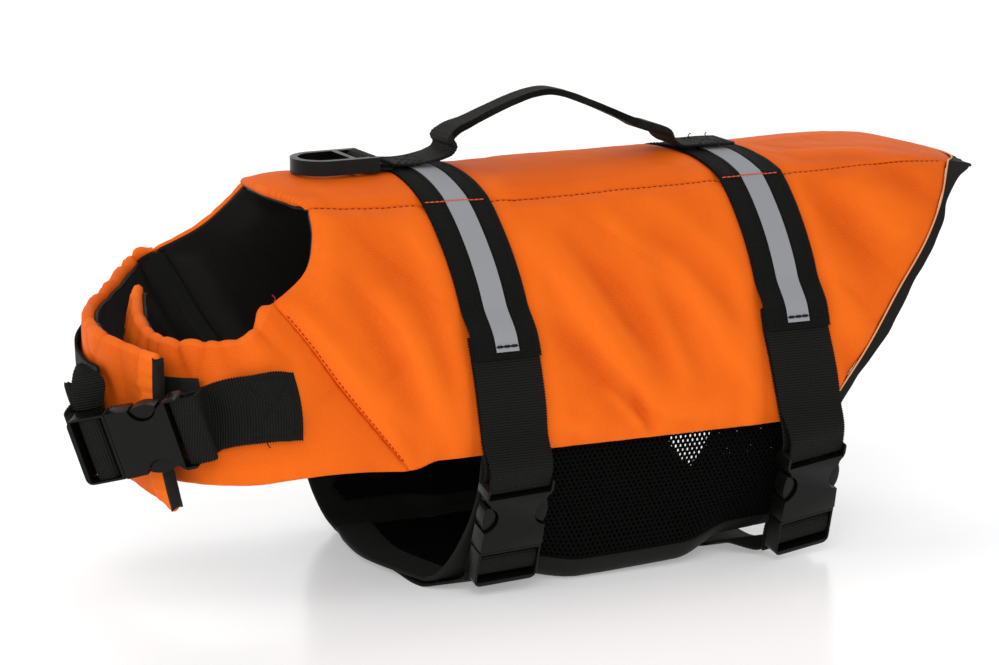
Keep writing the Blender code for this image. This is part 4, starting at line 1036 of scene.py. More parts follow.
last_row = len(ROUND_BELLY) - 1
for place, first, last, x_from, x_to, size, swell in (
    ("front", 0, last_row, "front", "front inner", (221, 11), (0, 0, 1.3, 1.0)),
    ("rear", 0, last_row, "rear inner", "rear", (221, 9), (0, 0, 1.0, 1.3)),
    ("left", 4, 6, "front inner", "rear inner", (15, 141), (1.0, 1.0, 0, 0)),
    ("right", 10, 12, "front inner", "rear inner", (15, 141), (1.0, 1.0, 0, 0)),
):
    tape = belly_tape(f"belly_tape_{place}", first, last, x_from, x_to, size, swell)
    stand_for({f"belly_binding_{place}": tape})

# %% [markdown]
# ## Knitted mesh with real holes
# The mesh lets water out, and light shows through it. Its cells are hexagons in rows, each second
# row half a cell along. Every cell is a ring between its own corners and a smaller hexagon that
# slants, with a wall round the hole. One array holds all cells, and shared corners are merged.

# %% Net
NET_FROM, NET_LONG, NET_UNDER = -105, 230, 2.2  # front of all nets, their length, and their hem
HOLE_SLIM, HOLE_SLANT, NET_OUTER, NET_INNER = 0.80, 0.18, 0.5, 1.6


def net(name, first, last, pitch, open_share, inside_by=0.0, keep=None):
    """A hexagon net on the belly between two rows of its table, with its edges under the tapes.

    Each hole is its cell times a share between the two in open_share. A second layer lies inside by
    a distance, and `keep` says where it is.
    """
    low = ROUND_BELLY[first] - NET_UNDER * (first > 0)
    high = ROUND_BELLY[last] + NET_UNDER * (last < last_row)
    step = pitch * math.sqrt(3) / 2
    i, j = np.meshgrid(np.arange(0, NET_LONG / pitch), np.arange(0.5, (high - low) / step))
    centre_x = NET_FROM + (i + 0.5 * (np.floor(j) % 2)) * pitch
    centre_at = low + j * step
    inside = centre_x > belly_line("front inner", centre_at) - NET_UNDER
    inside = inside & (centre_x < belly_line("rear inner", centre_at) + NET_UNDER)
    if keep is not None:
        inside = inside & keep(centre_x, centre_at)
    centres = np.stack([centre_x[inside], centre_at[inside]], axis=-1)
    turn = np.arange(6) * math.pi / 3 + math.pi / 6
    corner = np.stack([np.cos(turn), np.sin(turn)], axis=-1) * pitch / math.sqrt(3)
    wobble = np.random.default_rng(first).uniform(*open_share, (len(centres), 1, 1))
    slim = corner * (HOLE_SLIM, 1.0)
    slant = slim + slim[:, ::-1] * (HOLE_SLANT, 0.0)
    cell = np.concatenate([centres[:, None] + corner, centres[:, None] + slant * wobble], axis=1)
    flat = cell.reshape(-1, 2)
    points, inward = belly_points(flat[:, 0], flat[:, 1]), belly_inward(flat[:, 0], flat[:, 1])
    count = len(flat)
    points = points + inward * inside_by
    both = np.concatenate([points + inward * NET_OUTER, points + inward * NET_INNER])
    k = np.arange(6)
    after = (k + 1) % 6
    face = np.stack([k, after, after + 6, k + 6], axis=1)
    hole = np.stack([k + 6, after + 6, after + 6 + count, k + 6 + count], axis=1)
    one = np.concatenate([face[:, ::-1], face + count, hole[:, ::-1]])
    quads = (one[None] + 12 * np.arange(len(centres))[:, None, None]).reshape(-1, 4)
    made = mesh_object(name, both, quads, "black_mesh", np.concatenate([flat, flat]))
    merged = bmesh.new()
    merged.from_mesh(made.data)
    bmesh.ops.remove_doubles(merged, verts=merged.verts, dist=0.00001)
    bmesh.ops.holes_fill(merged, edges=[e for e in merged.edges if e.is_boundary], sides=4)
    merged.to_mesh(made.data)
    merged.free()
    reach = (np.ptp(centres, axis=0) + pitch) * MM
    made["area"] = float(len(centres) * pitch * step * MM * MM)
    made["flat"] = sorted(reach.tolist())
    return made


WINDOW_TOP, WINDOW_FROM, WINDOW_TO, SLANT_FROM, SLANT_TO = 14.0, 35.0, 68.0, 0.80, 0.62


def doubled(x, at):
    """Where a wing has its second layer: all but a V-shaped window that hangs from the hem."""
    down = np.minimum(at, ROUND_BELLY[-1] - at) - WINDOW_TOP
    return (x < WINDOW_FROM + down * SLANT_FROM) | (x > WINDOW_TO - down * SLANT_TO)


OPEN, CLOSE, TIGHT, SHUT = (0.52, 0.68), (0.36, 0.48), (0.20, 0.28), (0.10, 0.14)
nets = [
    net("wing_net_left", 0, 4, 2.9, OPEN),
    net("base_net", 6, 10, 4.0, CLOSE),
    net("wing_net_right", 12, 16, 3.6, CLOSE),
    net("wing_layer_left", 0, 4, 3.7, TIGHT, 2.6, doubled),
    net("wing_layer_right", 12, 16, 4.4, SHUT, 2.6, doubled),
]
stand_for(dict(zip(("belly_wing_left", "belly_base", "belly_wing_right"), nets)))

# %% [markdown]
# ## Webbing on rails
# Webbing keeps its width, so two or more rails along it say all about its route. The band between
# them is smooth both ways, with two rows for each rib. The weft turns back at every rib, so each
# second row of the edge stands out a little, which serrates it as on the real thing.

# %% Webbing from rails
ACROSS = np.array([-1, -0.97, -0.88, -0.6, -0.3, 0, 0.3, 0.6, 0.88, 0.97, 1.0])
ROW, TOOTH = RIB / 2, 0.32


def between(rails, count=None):
    """Grid with rows along the rails and columns across them at ACROSS.

    Both ways are the cubic of `smooth`, which is linear in its values, so it is one set of weights.
    """
    rails = np.asarray(rails, float)
    at = measured(strides(rails, 1).mean(axis=0))
    fine = np.linspace(0, at[-1], count or int(at[-1] / ROW) + 1)
    along = np.stack([smooth(fine, at, one) for one in np.eye(len(at))], axis=1)
    shares = np.linspace(-1, 1, len(rails))
    across = np.stack([smooth(ACROSS, shares, one) for one in np.eye(len(rails))], axis=1)
    return np.einsum("cn,rp,npk->rck", across, along, rails)


WEBS = {}


def webbing(name, grid, thick, finish, tooth=TOOTH, swell=0.5, ends=0.3):
    """Cloth wall round a grid of middle points, half the thickness to each side."""
    WEBS[name] = (grid, float(np.min(thick)) / 2)
    down, _, along, _ = lengths(grid)
    where = np.stack([along - along[:, -1:] / 2, down], axis=-1)
    cut = cut_of(grid, down, along)  # without the teeth of its edges
    half = facing(grid) * np.broadcast_to(np.asarray(thick) / 2, grid.shape[:2])[..., None]
    teeth = (tooth * (-1.0) ** np.arange(len(grid)))[:, None]
    grid = grid.copy()
    for edge, inward in ((0, 1), (-1, -2)):
        grid[:, edge] += unit(grid[:, edge] - grid[:, inward]) * teeth
    made = wall(name, grid + half, grid - half, finish, (ends, ends, swell, swell), where)
    made["area"], made["flat"] = cut
    return made


def ribbon(path, across, width):
    """Two rails: a path of middle points, half the width to each side."""
    path = np.asarray(path, float)
    reach = unit(np.broadcast_to(np.asarray(across, float), path.shape)) / 2
    reach = reach * np.broadcast_to(width, (len(path),))[:, None]
    return path - reach, path + reach


print("columns across webbing:", len(ACROSS))

# %% [markdown]
# ## Girth straps over the back
# Each upper strap runs over the back from side to side, pressed into the foam. At its ends it
# climbs over the doubled webbing that is tucked under it. A reflective tape runs along its middle,
# and it stops 3 mm before the strap's end.

# %% Straps over the back
PRESSED = -0.45  # lower face of a strap, from the skin
TUCK_LEFT, TUCK_RIGHT, TUCK_FROM, TUCK_REACH = 4.5, 2.5, 116.0, 20.0


def strap_height(girth):
    """Height of an upper strap's lower face over the skin."""
    left = (TUCK_LEFT - PRESSED) * ramp(-girth - TUCK_FROM, TUCK_REACH)
    right = (TUCK_RIGHT - PRESSED) * ramp(girth - TUCK_FROM, TUCK_REACH)
    return PRESSED + left + right


def over_back(strap, end, half_width, height):
    """Grid of a band over the back, at a height over the upper strap's lower face."""
    girth = np.linspace(-end, end, int(2 * end / ROW))[:, None]
    middle = strap_x(strap, girth)
    x = middle + half_width * ACROSS[None, :] + 0.3 * drift(girth, 0, 30, 7)
    lift = strap_height(girth) + height + 0.12 * drift(x, girth, 12, 8)
    return torso(x, girth) + torso_outward(middle + 0 * x, girth) * lift[..., None]


lying = WEBBING_THICK + 0.05 + TAPE_THICK / 2
for strap in STRAPS:
    grid = over_back(strap, STRAP_END, WEBBING / 2, WEBBING_THICK / 2)
    upper = webbing(f"{strap.name}_upper_strap", grid, WEBBING_THICK, "tape_webbing")
    grid = over_back(strap, TAPE_END, TAPE_WIDTH / 2, lying)[::2]
    tape = webbing(f"{strap.name}_tape", grid, TAPE_THICK, "reflective_tape", 0, 0.1, 0.1)
    stand_for({f"{strap.name}_strap": upper, f"{strap.name}_reflective": tape})

# %% [markdown]
# ## Webbing round the buckles
# A buckle has its own axes: across, toward the socket's end, and out. The webbing's turns round the
# buckle's bars are drawn in those axes, as seen from the side. From the socket the webbing goes up
# doubled and is tucked under the upper strap. From the plug it goes under the belly, and up the
# other side.

# %% Buckle axes and turns
Buckle = namedtuple("Buckle", "name centre along outward")
BUCKLES = [
    Buckle("front", (-60.0, -101.0, 37.0), (0.02, 0.365, -0.93), (0.05, -0.931, -0.365)),
    Buckle("rear", (119.6, -101.2, 35.4), (0.03, 0.32, -0.945), (0.18, -0.945, -0.32)),
    Buckle("chest", (-263.2, -77.6, 102.1), (-0.71, 0.655, -0.245), (-0.62, -0.75, -0.22)),
]
CHEST = BUCKLES[2]
SOCKET_WEBBING, PLUG_WEBBING = 36.2, 34.0
TURN = "along out"
SOCKET_TURN = table(TURN, """
    40 2.6,  35 3.1,  30 3.1,  27.9 2.6,  27.1 1.2,  27.1 -1.2,  27.9 -2.6,  30 -3.1,  35 -3.1""")
PLUG_TURN = table(TURN, """
    -33.6 -6.8,  -27.3 -6.6,  -25.3 -5,  -24.9 -0.3,  -23.8 2.4,  -21.5 3.1,  -16.5 3.1,
    -14.3 2.4,  -13.1 -0.5,  -13.5 -4.6,  -16 -7.2,  -24 -8.4,  -33.6 -9.2""")
BELLY_ROUTE = table("across up skew lift", """
    -71.5 3.6 0.7 1,  -62 0.9 1 0.8,  -30 0.8 1 0.1,  0 0.8 0.8 0,  30 0.8 0.6 0,  62 0.9 0.4 0,
    74.8 4.6 0.3 0,  83 14 0.25 0,  92.2 32 0.15 0,  99 55 0.1 0,  105.5 69 0.05 0,
    109.6 79 0 0""")


def buckle_axes(buckle):
    """Unit directions across, toward the socket's end and out, as rows."""
    to_socket = -unit(np.array(buckle.along))
    across = unit(np.cross(to_socket, buckle.outward))
    return np.stack([across, to_socket, np.cross(across, to_socket)])


def in_buckle(buckle, points):
    """Points given in a buckle's own axes: centre + point times axes."""
    return np.array(buckle.centre) + np.asarray(points, float) @ buckle_axes(buckle)


def turn_path(buckle, turn, shift=0.0):
    """Middle points of a turn round a bar, `shift` across from the buckle's middle."""
    along, out = turn.values()
    return in_buckle(buckle, np.stack([0 * along + shift, along, out], axis=1))


def skin_path(strap, girths, height):
    """Middle points of a strap at a height over the skin."""
    points, outward = on_torso(strap_x(strap, girths), girths)
    return points + outward * height


def lengthwise(before, buckle, count, after):
    """Directions across a strap: along the jacket, and along the buckle's bar where it turns."""
    ahead, bar = np.array([1.0, 0, 0]), buckle_axes(buckle)[0]
    parts = ((ahead, before), (bar, count), (ahead, after))
    return np.concatenate([np.tile(way, (number, 1)) for way, number in parts])


print("belly route has", len(BELLY_ROUTE["up"]), "stations")

# %% Straps below the upper strap
UP_THE_SIDE = np.array([STRAP_END - UNDER_STRAP, STRAP_END, 158, 172, 186.0])


def socket_loop(strap, buckle):
    """Doubled webbing that hangs from the upper strap and carries a socket."""
    blend = np.clip((UP_THE_SIDE - STRAP_END) / 50.0, 0, 1)[:, None]
    shift = np.array([[strap.x_buckle - strap.x_end, 0, 0]]) * blend
    outer, inner = (skin_path(strap, -UP_THE_SIDE, height) + shift for height in (3.3, 1.3))
    bend = turn_path(buckle, SOCKET_TURN)
    path = np.concatenate([outer, bend, inner[::-1]])
    across = lengthwise(len(outer), buckle, len(bend), len(inner))
    squeezed = np.array([*[WEBBING] * 4, (WEBBING + SOCKET_WEBBING) / 2])
    width = np.concatenate([squeezed, np.full(len(bend), SOCKET_WEBBING), squeezed[::-1]])
    grid = between(ribbon(path, across, width))
    return webbing(f"{strap.name}_hanging_loop", grid, WEBBING_THICK, "black_webbing")


def belly_strap(strap, buckle):
    """The strap from a plug, under the belly and up to the far end of the upper strap."""
    bend = turn_path(buckle, PLUG_TURN)
    across, up, skew, lift = BELLY_ROUTE.values()
    x = strap.x_buckle + (strap.x_skew - strap.x_buckle) * skew
    x = x + (strap.x_end - strap.x_buckle) * np.linspace(0, 1, len(x)) ** 2
    under = np.stack([x, across, up + strap.lift * lift], axis=1)
    path = np.concatenate([bend, under, skin_path(strap, UP_THE_SIDE[::-1], 1.3)])
    after = len(path) - len(bend)
    width = np.concatenate([np.full(len(bend), PLUG_WEBBING), np.full(after, WEBBING)])
    grid = between(ribbon(path, lengthwise(0, buckle, len(bend), after), width))
    grid[..., 2] = np.maximum(grid[..., 2], WEBBING_THICK / 2)
    return webbing(f"{strap.name}_girth_strap", grid, WEBBING_THICK, "black_webbing")


for strap, buckle in zip(STRAPS, BUCKLES):
    for part in (socket_loop, belly_strap):
        stand_for({f"{strap.name}_{part.__name__}": part(strap, buckle)})

# %% [markdown]
# ## Webbing over the chest
# The chest webbing follows the flaps on four rails, because a flap is curved both ways. On the left
# flap it is doubled and holds the socket. On the outer flap it comes from the plug, goes round
# the chest and ends at the shoulder. A patch of hook tape closes the flaps below it.

# %% Chest webbing
CHEST_ROWS = {LEFT: (0.31, 0.457, 0.603, 0.75), RIGHT: (0.20, 0.37, 0.55, 0.72)}
CHEST_ACROSS = np.linspace(-0.5, 0.5, 4)


def flap_rails(which, starts, end, count, height):
    """Rails on a flap's skin, each from its own share of the flap's length."""
    heights = (0, *CHEST_ROWS[which], 1)
    rails = []
    for row, start in enumerate(starts, 1):
        points, outward, _ = flap_surface(which, np.linspace(start, end, count), heights)
        rails.append(points[row] + outward[row] * height)
    return np.array(rails)


def shifted(rails, top, bottom):
    """Rails moved along the skin towards the first rail, by millimetres for the outer two."""
    up = unit(rails[0] - rails[-1])
    share = np.linspace(0, 1, len(rails))[:, None]
    return rails + up * (np.asarray(top) * (1 - share) + np.asarray(bottom) * share)[..., None]


def turn_rails(turn, width):
    """Rails round a bar of the chest buckle."""
    return np.array([turn_path(CHEST, turn, share * width) for share in CHEST_ACROSS])


LEFT_TOP, LEFT_BOTTOM = (-1, 4.6, 5.6, 5, 1), (2.5, 4, 4.5, 4, 1.5)


def chest_web_left():
    """Doubled webbing on the left flap, which carries the chest socket."""
    outer = flap_rails(LEFT, (0.105, 0.124, 0.143, 0.162), 0.34, 5, 3.9)
    inner = flap_rails(LEFT, (0.125, 0.144, 0.163, 0.182), 0.33, 5, 1.7)
    outer, inner = (shifted(rails, LEFT_TOP, LEFT_BOTTOM) for rails in (outer, inner))
    turn = turn_rails(SOCKET_TURN, SOCKET_WEBBING)
    rails = np.concatenate([outer, turn, inner[:, ::-1]], axis=1)
    return webbing("chest_webbing_left", between(rails), WEBBING_THICK, "black_webbing")


def chest_web_right():
    """Webbing from the chest plug round the outer flap to the right shoulder."""
    shoulder = flap_rails(RIGHT, (0.14, 0.14, 0.14, 0.14), 0.80, 12, 2.4)
    narrower = 4 * (1 - ramp(np.arange(12.0), 6))
    shoulder = shifted(shoulder, -narrower, narrower)[:, ::-1]
    rails = np.concatenate([turn_rails(PLUG_TURN, PLUG_WEBBING)[:, ::-1], shoulder], axis=1)
    return webbing("chest_webbing_right", between(rails), WEBBING_THICK, "black_webbing")


def closure_patch():
    """The hook tape on the left flap, between its webbing and the outer flap."""
    points, outward, _ = flap_surface(LEFT, np.linspace(0.352, 0.58, 43), np.linspace(0, 1, 43))
    base, lean = points[10:29], outward[10:29]
    return wall("hook_patch", base + lean * 2.0, base + lean * 0.8, "black_binding", (0.3,) * 4)


for part in (chest_web_left, chest_web_right, closure_patch):
    stand_for({part.__name__: part()})

# %% [markdown]
# ## Carrying handle
# The handle is a long piece of webbing folded lengthwise, so the grip is narrow, thick and round at
# its edges, and it spreads flat where it is sewn down. At its front end it bends back on itself,
# because it is longer than the way between its ends.

# %% Handle and ring loop
HANDLE = table("x up width thick", """
    -86 221.2 25 1.6,  -76 220.6 25 1.6,  -64 221.6 25 1.8,  -55.5 223.4 25 2.2,
    -50.8 225.6 25 2.8,  -49.2 228.6 25 3.4,  -51 232.4 23 3.8,  -47.4 235.6 20 3.8,
    -37 239.4 15.5 3.7,  -23.5 244.6 13 3.6,  -9.5 249.6 12.5 3.6,  2 252.8 12.5 3.6,
    11.5 253.6 12.5 3.6,  22 251.4 12.5 3.6,  36 245.9 12.5 3.6,  50 239.6 12.5 3.6,
    60 234.8 14 4,  69 230.6 19 4.8,  77 228.4 24 5,  82.4 226 25 4.2,  84.6 222.4 25 3,
    89 219 25 1.8,  98 218.3 25 1.6,  112 218.1 25 1.6,  123 217.6 25 1.6""")
HANDLE_WEBBING = 25.0
RING_AXIS_X, RING_AXIS_UP, RING_BAR = -98.0, 223.0, 2.3


def handle():
    """The handle: a ribbon whose thickness and round edges follow the table."""
    x, up, width, thick = HANDLE.values()
    path = np.stack([x, 0 * x, up], axis=1)
    grid = between(ribbon(path, (0, 1, 0), width))
    at = measured(strides(path))
    thick = smooth(np.linspace(0, at[-1], len(grid)), at, thick)[:, None]
    edge = 0.5 + 0.5 * (thick - WEBBING_THICK)
    rows = np.arange(len(grid))[:, None]
    grid = grid + np.array([0, 0.35, 0.25]) * drift(rows * ROW, 0, 21, 31)[..., None]
    fuller = thick * (1 + 0.08 * drift(rows * ROW, 3, 9, 32))
    made = webbing("handle_webbing_piece", grid, fuller, "handle_webbing", TOOTH, edge)
    cut = [HANDLE_WEBBING * MM, made["flat"][1]]  # before it is folded
    made["flat"], made["area"] = cut, cut[0] * cut[1]
    return made


def ring_loop():
    """The webbing loop that the D-ring turns in."""
    reach = RING_BAR + 0.45 + WEBBING_THICK / 2
    turns = np.radians(np.linspace(78, 282, 15))[:, None]
    round_bar = np.cos(turns) * (1, 0, 0) + np.sin(turns) * (0, 0, 1)
    bend = np.array([RING_AXIS_X, 0, RING_AXIS_UP]) + reach * round_bar
    path = [(-86.6, 0, 222.0), (-91, 0, 224.0), *bend, (-91, 0, 219.4), (-86.6, 0, 219.2)]
    grid = between(ribbon(path, (0, 1, 0), HANDLE_WEBBING))
    return webbing("ring_webbing", grid, WEBBING_THICK, "handle_webbing")


stand_for({"handle": handle(), "ring_loop": ring_loop()})

# %% [markdown]
# ## Moulded parts
# The buckles and the D-ring are moulded plastic. Each is made from outlines in its own axes,
# pushed to a thickness and carved by Booleans, and then its edges are rounded. After that its
# points are turned into the jacket's frame, so the object itself stays at the origin.

# %% Moulding tools
SHARP = 50  # an edge sharper than this many degrees keeps its line


def prism(outline, low, high):
    """A solid: an outline in the first two axes, pushed from low to high along the third."""
    flat, number = np.asarray(outline, float), len(outline)
    corners = [np.column_stack([flat, np.full(number, level)]) for level in (low, high)]
    mesh = bpy.data.meshes.new("prism")
    side = [(k, (k + 1) % number, (k + 1) % number + number, k + number) for k in range(number)]
    faces = [tuple(range(number))[::-1], tuple(range(number, 2 * number)), *side]
    mesh.from_pydata(np.concatenate(corners).tolist(), [], faces)
    shaped = bmesh.new()
    shaped.from_mesh(mesh)
    bmesh.ops.recalc_face_normals(shaped, faces=shaped.faces)
    shaped.to_mesh(mesh)
    shaped.free()
    return mesh


def modified(mesh, settle):
    """The mesh after the modifiers that `settle` puts on a passing object."""
    passing = placed("passing", mesh)
    settle(passing)
    ready = passing.evaluated_get(bpy.context.evaluated_depsgraph_get())
    made = bpy.data.meshes.new_from_object(ready)
    bpy.data.objects.remove(passing)
    return made


def carved(body, tool, operation="DIFFERENCE"):
    """Body cut by a tool, or what they share."""
    held = placed("tool", tool)

    def settle(passing):
        boolean = passing.modifiers.new("carve", "BOOLEAN")
        boolean.operation, boolean.solver, boolean.object = operation, "EXACT", held

    made = modified(body, settle)
    bpy.data.objects.remove(held)
    return made


def cut(body, outline, low, high):
    """Body with a prism taken out."""
    return carved(body, prism(outline, low, high))


def rounded(mesh, width, steps=3, angle=32):
    """Mesh with its edges rounded by a bevel of a width in mm."""

    def settle(passing):
        bevel = passing.modifiers.new("round", "BEVEL")
        bevel.width, bevel.segments, bevel.limit_method = width, steps, "ANGLE"
        bevel.angle_limit, bevel.harden_normals = math.radians(angle), False

    return modified(mesh, settle)


def points_of(mesh):
    """Coordinates of a mesh's points, as rows."""
    points = np.empty(len(mesh.vertices) * 3)
    mesh.vertices.foreach_get("co", points)
    return points.reshape(-1, 3)


def moulded(name, parts, centre, axes):
    """Join parts given in their own axes and set them in the jacket's frame."""
    whole = bmesh.new()
    for part in parts:
        whole.from_mesh(part)
    mesh = bpy.data.meshes.new(name)
    whole.to_mesh(mesh)
    whole.free()
    points = np.asarray(centre, float) + points_of(mesh) @ axes
    mesh.vertices.foreach_set("co", ((points - ORIGIN) * MM).ravel())
    mesh.shade_smooth()
    mesh.set_sharp_from_angle(angle=math.radians(SHARP))
    mesh.update()
    return dress(name, mesh, "black_plastic")


def turned(radius, half, sides=28):
    """A round bar along the second axis with half its length to each side."""
    angles = np.linspace(0, 2 * math.pi, sides, endpoint=False)
    mesh = prism(radius * np.stack([np.cos(angles), np.sin(angles)], axis=1), -half, half)
    mesh.vertices.foreach_set("co", points_of(mesh)[:, [0, 2, 1]].ravel())
    mesh.flip_normals()
    return mesh


def rectangle(width, low, high):
    """Outline of a rectangle centred on the first axis, between two heights."""
    return [(-width / 2, low), (width / 2, low), (width / 2, high), (-width / 2, high)]


def mirrored(half):
    """Close an outline given as its right half, from top to bottom."""
    return half + [(-x, y) for x, y in reversed(half)]


def arc(centre, radius, start, end, count):
    """Points on an arc, angles in degrees."""
    turns = np.radians(np.linspace(start, end, count))
    return [(centre[0] + radius * math.cos(a), centre[1] + radius * math.sin(a)) for a in turns]


print("an arc of a quarter turn ends at", np.round(arc((0, 0), 1, 0, 90, 5)[-1], 3))

# %% [markdown]
# ### Side-release buckles
# The socket is a flat box with a mouth for the plug, a slot and a rounded bar for the webbing, and
# a half-moon cut in each side. The plug's two arms end in round buttons that fill the half-moons.
# Pressing both buttons in lets the arms slip out of the mouth.

# %% Buckles
SOCKET_WIDTH, SOCKET_THICK, PLUG_WIDTH, PLUG_THICK = 40.0, 11.0, 37.4, 10.4
SOCKET_TOP, SOCKET_END, PLUG_END, BUTTON_AT = 33.0, -8.6, -31.0, 12.2
SOCKET_SLOT, PLUG_SLOT, SOCKET_BAR = 37.0, 34.8, 2.0
MOON, MOON_AT, BUTTON_GAP = 8.2, 19.2, 0.7  # half-moons' radius and place, gap round each button


def socket_parts():
    """The socket half of a buckle: box, mouth, slot, bar and half-moons."""
    half_width = SOCKET_WIDTH / 2
    half = [
        *arc((half_width - 3, SOCKET_TOP - 3), 3.0, 90, 0, 7),
        (half_width, SOCKET_TOP - 7.0),
        *arc((half_width + 1.5, SOCKET_TOP - 13.5), 5.0, 120, 180, 7),
        (half_width - 3.5, SOCKET_TOP - 16),
        (half_width - 1.9, BUTTON_AT - 6),
        *arc((half_width - 2.3, SOCKET_END + 1.0), 1.0, 0, -90, 4),
    ]
    body = prism(mirrored(half), -SOCKET_THICK / 2, SOCKET_THICK / 2)
    deep = SOCKET_THICK
    for way in (LEFT, RIGHT):
        body = cut(body, arc((way * MOON_AT, BUTTON_AT), MOON, 0, 360, 49)[:-1], -deep, deep)
    body = cut(body, rectangle(31.6, SOCKET_END - 2, 19.4), -3.6, 3.6)
    body = cut(body, rectangle(SOCKET_SLOT, 25.2, 29.2), -deep, deep)
    relief = rectangle(SOCKET_SLOT, 29, SOCKET_TOP + 2)
    body = cut(cut(body, relief, SOCKET_BAR, deep), relief, -deep, -SOCKET_BAR)
    return [rounded(body, 0.9, 4)]


def plug_parts():
    """The plug half of a buckle: frame, bar, tongue, and two arms with domed buttons."""
    half_width, top = PLUG_WIDTH / 2, SOCKET_END - GAP
    half = [(half_width, top), *arc((half_width - 4, PLUG_END + 4), 4.0, 0, -90, 9)]
    base = prism(mirrored(half), -PLUG_THICK / 2, PLUG_THICK / 2)
    base = cut(base, rectangle(PLUG_SLOT, PLUG_END + 2.6, top - 1.8), -20, 20)
    parts = [rounded(base, 1.7, 6)]
    tongue = [(-4, top - 1), (4, top - 1), (3.2, 15), (-3.2, 15)]
    parts.append(rounded(prism(tongue, -2.6, 2.6), 0.6))
    parts.append(rounded(prism(rectangle(PLUG_SLOT + 1.2, -23.0, -15.1), -1.4, 1.4), 0.9))
    arm = [(9.8, top - 1), (13.8, top - 1), (14.4, 6.0), (16, 8)]
    arm += [(16, 15), (10.8, 15.6), (10.2, 8.0)]
    for way in (LEFT, RIGHT):
        parts.append(rounded(prism([(way * x, y) for x, y in arm], -3.0, 3.0), 0.6))
        disc = arc((way * MOON_AT, BUTTON_AT), MOON - BUTTON_GAP, 0, 360, 49)[:-1]
        outer = arc((way * 4.0, BUTTON_AT), 15.4, 0, 360, 73)[:-1]
        button = carved(prism(disc, -3.9, 3.9), prism(outer, -9, 9), "INTERSECT")
        parts.append(rounded(button, 1.7, 5, 40))
    return parts


halves = {"socket": socket_parts(), "plug": plug_parts()}
for buckle in BUCKLES:
    for half, parts in halves.items():
        piece = moulded(f"{buckle.name}_buckle_{half}", parts, buckle.centre, buckle_axes(buckle))
        stand_for({f"{buckle.name}_{half}": piece})

# %% [markdown]
# ### D-ring
# The ring is a thick plastic D with a crossbar. Its straight end is a round bar inside the webbing
# loop, and it swings on that bar.

# %% D-ring
RING_LENGTH, RING_WIDTH, RING_HEIGHT, RING_WALL = 44.0, 34.0, 8.0, 4.2
RING_SLOT, RING_CROSSBAR = 7.2, 3.4


def ring_outline(inset, count):
    """Outline of the ring's front: straight sides and a round front, in the bar's own axes."""
    half = RING_WIDTH / 2 - inset
    middle = -(RING_LENGTH - RING_BAR - 0.4 - RING_WIDTH / 2)
    turns = np.linspace(math.pi / 2, 3 * math.pi / 2, count)
    return [(middle + half * math.cos(a), half * math.sin(a)) for a in turns]


def d_ring():
    """The D-ring, set on its axis."""
    half_wall, inner = RING_HEIGHT / 2, RING_WIDTH / 2 - RING_WALL
    back_x = RING_BAR + 0.4
    outer = [(back_x, -RING_WIDTH / 2), (back_x, RING_WIDTH / 2), *ring_outline(0, 49)]
    slot_front = -(RING_BAR + RING_SLOT)
    slot = [(back_x + 2, -inner), (back_x + 2, inner), (slot_front, inner), (slot_front, -inner)]
    hole_back = slot_front - RING_CROSSBAR
    hole = [(hole_back, -inner), (hole_back, inner), *ring_outline(RING_WALL, 41)]
    ring = cut(cut(prism(outer, -half_wall, half_wall), slot, -9, 9), hole, -9, 9)
    parts = [rounded(ring, 1.62, 7), turned(RING_BAR, inner + 1.5)]
    return moulded("swinging_ring", parts, (RING_AXIS_X, 0, RING_AXIS_UP), np.eye(3))


swinging_ring = d_ring()
stand_for({"d_ring": swinging_ring})
PIECES.remove(swinging_ring)

# %% [markdown]
# ## Free end of the chest webbing
# Behind the chest plug the webbing's free end stands up in a fold: a large lobe and a small one
# behind it. A lobe's edges are read from a table, and it cups like a leaf: its middle stands out
# by cup * (1 - t^2), where t goes from -1 at one edge to 1 at the other.

# %% Chest webbing's end
LOBE = "across low high"
LARGE_LOBE = table(LOBE, """
    -17.8 -29 -15,  -22 -29.5 -12.6,  -25.6 -28.8 -10.7,  -32.1 -26.8 -8.9,  -36 -24.8 -10.2,
    -38.7 -23.2 -12.6,  -42 -20.4 -15.8,  -43 -19.4 -17.8""")
SMALL_LOBE = table(LOBE, """
    -17.8 -31.8 -23,  -24 -32.2 -23,  -29.5 -32 -24.5,  -32.4 -31.6 -27.4,  -33.4 -31.2 -29.2""")


def tail_lobe(name, lobe, out, cup, thick):
    """A leaf of webbing in the chest buckle's axes, between a low and a high edge."""
    across = np.linspace(lobe["across"][0], lobe["across"][-1], 31)
    low, high = (smooth(across, lobe["across"][::-1], lobe[edge][::-1]) for edge in ("low", "high"))
    share = ACROSS[None, :]
    along = (low + high)[:, None] / 2 + (high - low)[:, None] / 2 * share
    rise = out + cup * (1 - share**2) + 0.35 * drift(across[:, None], along, 7, 61)
    points = np.stack([across[:, None] + 0 * along, along, rise], axis=-1)
    return webbing(name, in_buckle(CHEST, points), thick, "black_webbing", 0.2, 0.3)


stand_for({"chest_tail": tail_lobe("chest_webbing_end", LARGE_LOBE, -9.9, 1.5, WEBBING_THICK)})
tail_lobe("chest_webbing_fold", SMALL_LOBE, -12.0, 0.7, 1.0)

# %% [markdown]
# ## Seams from the inside, and the painted edge highlight
# On the inside a narrow binding covers each seam, so no light comes through the stitch holes. It
# lies 7 mm under the skin. Outside, a thin pale cord runs along the tail edge, between the orange
# cloth and the black tape: a painted highlight for the light caught by the cloth's folded edge.

# %% Seam bindings and the painted edge highlight
SEAM_DEEP, SEAM_COVER = 6.9, 4.6


def seam_binding(name, x, girth):
    """A band of binding under the skin, at a grid of places on the body."""
    points, outward = on_torso(x, girth)
    outer = points - outward * SEAM_DEEP
    return wall(name, outer, outer - outward * 0.8, "black_binding", (0.3,) * 4)


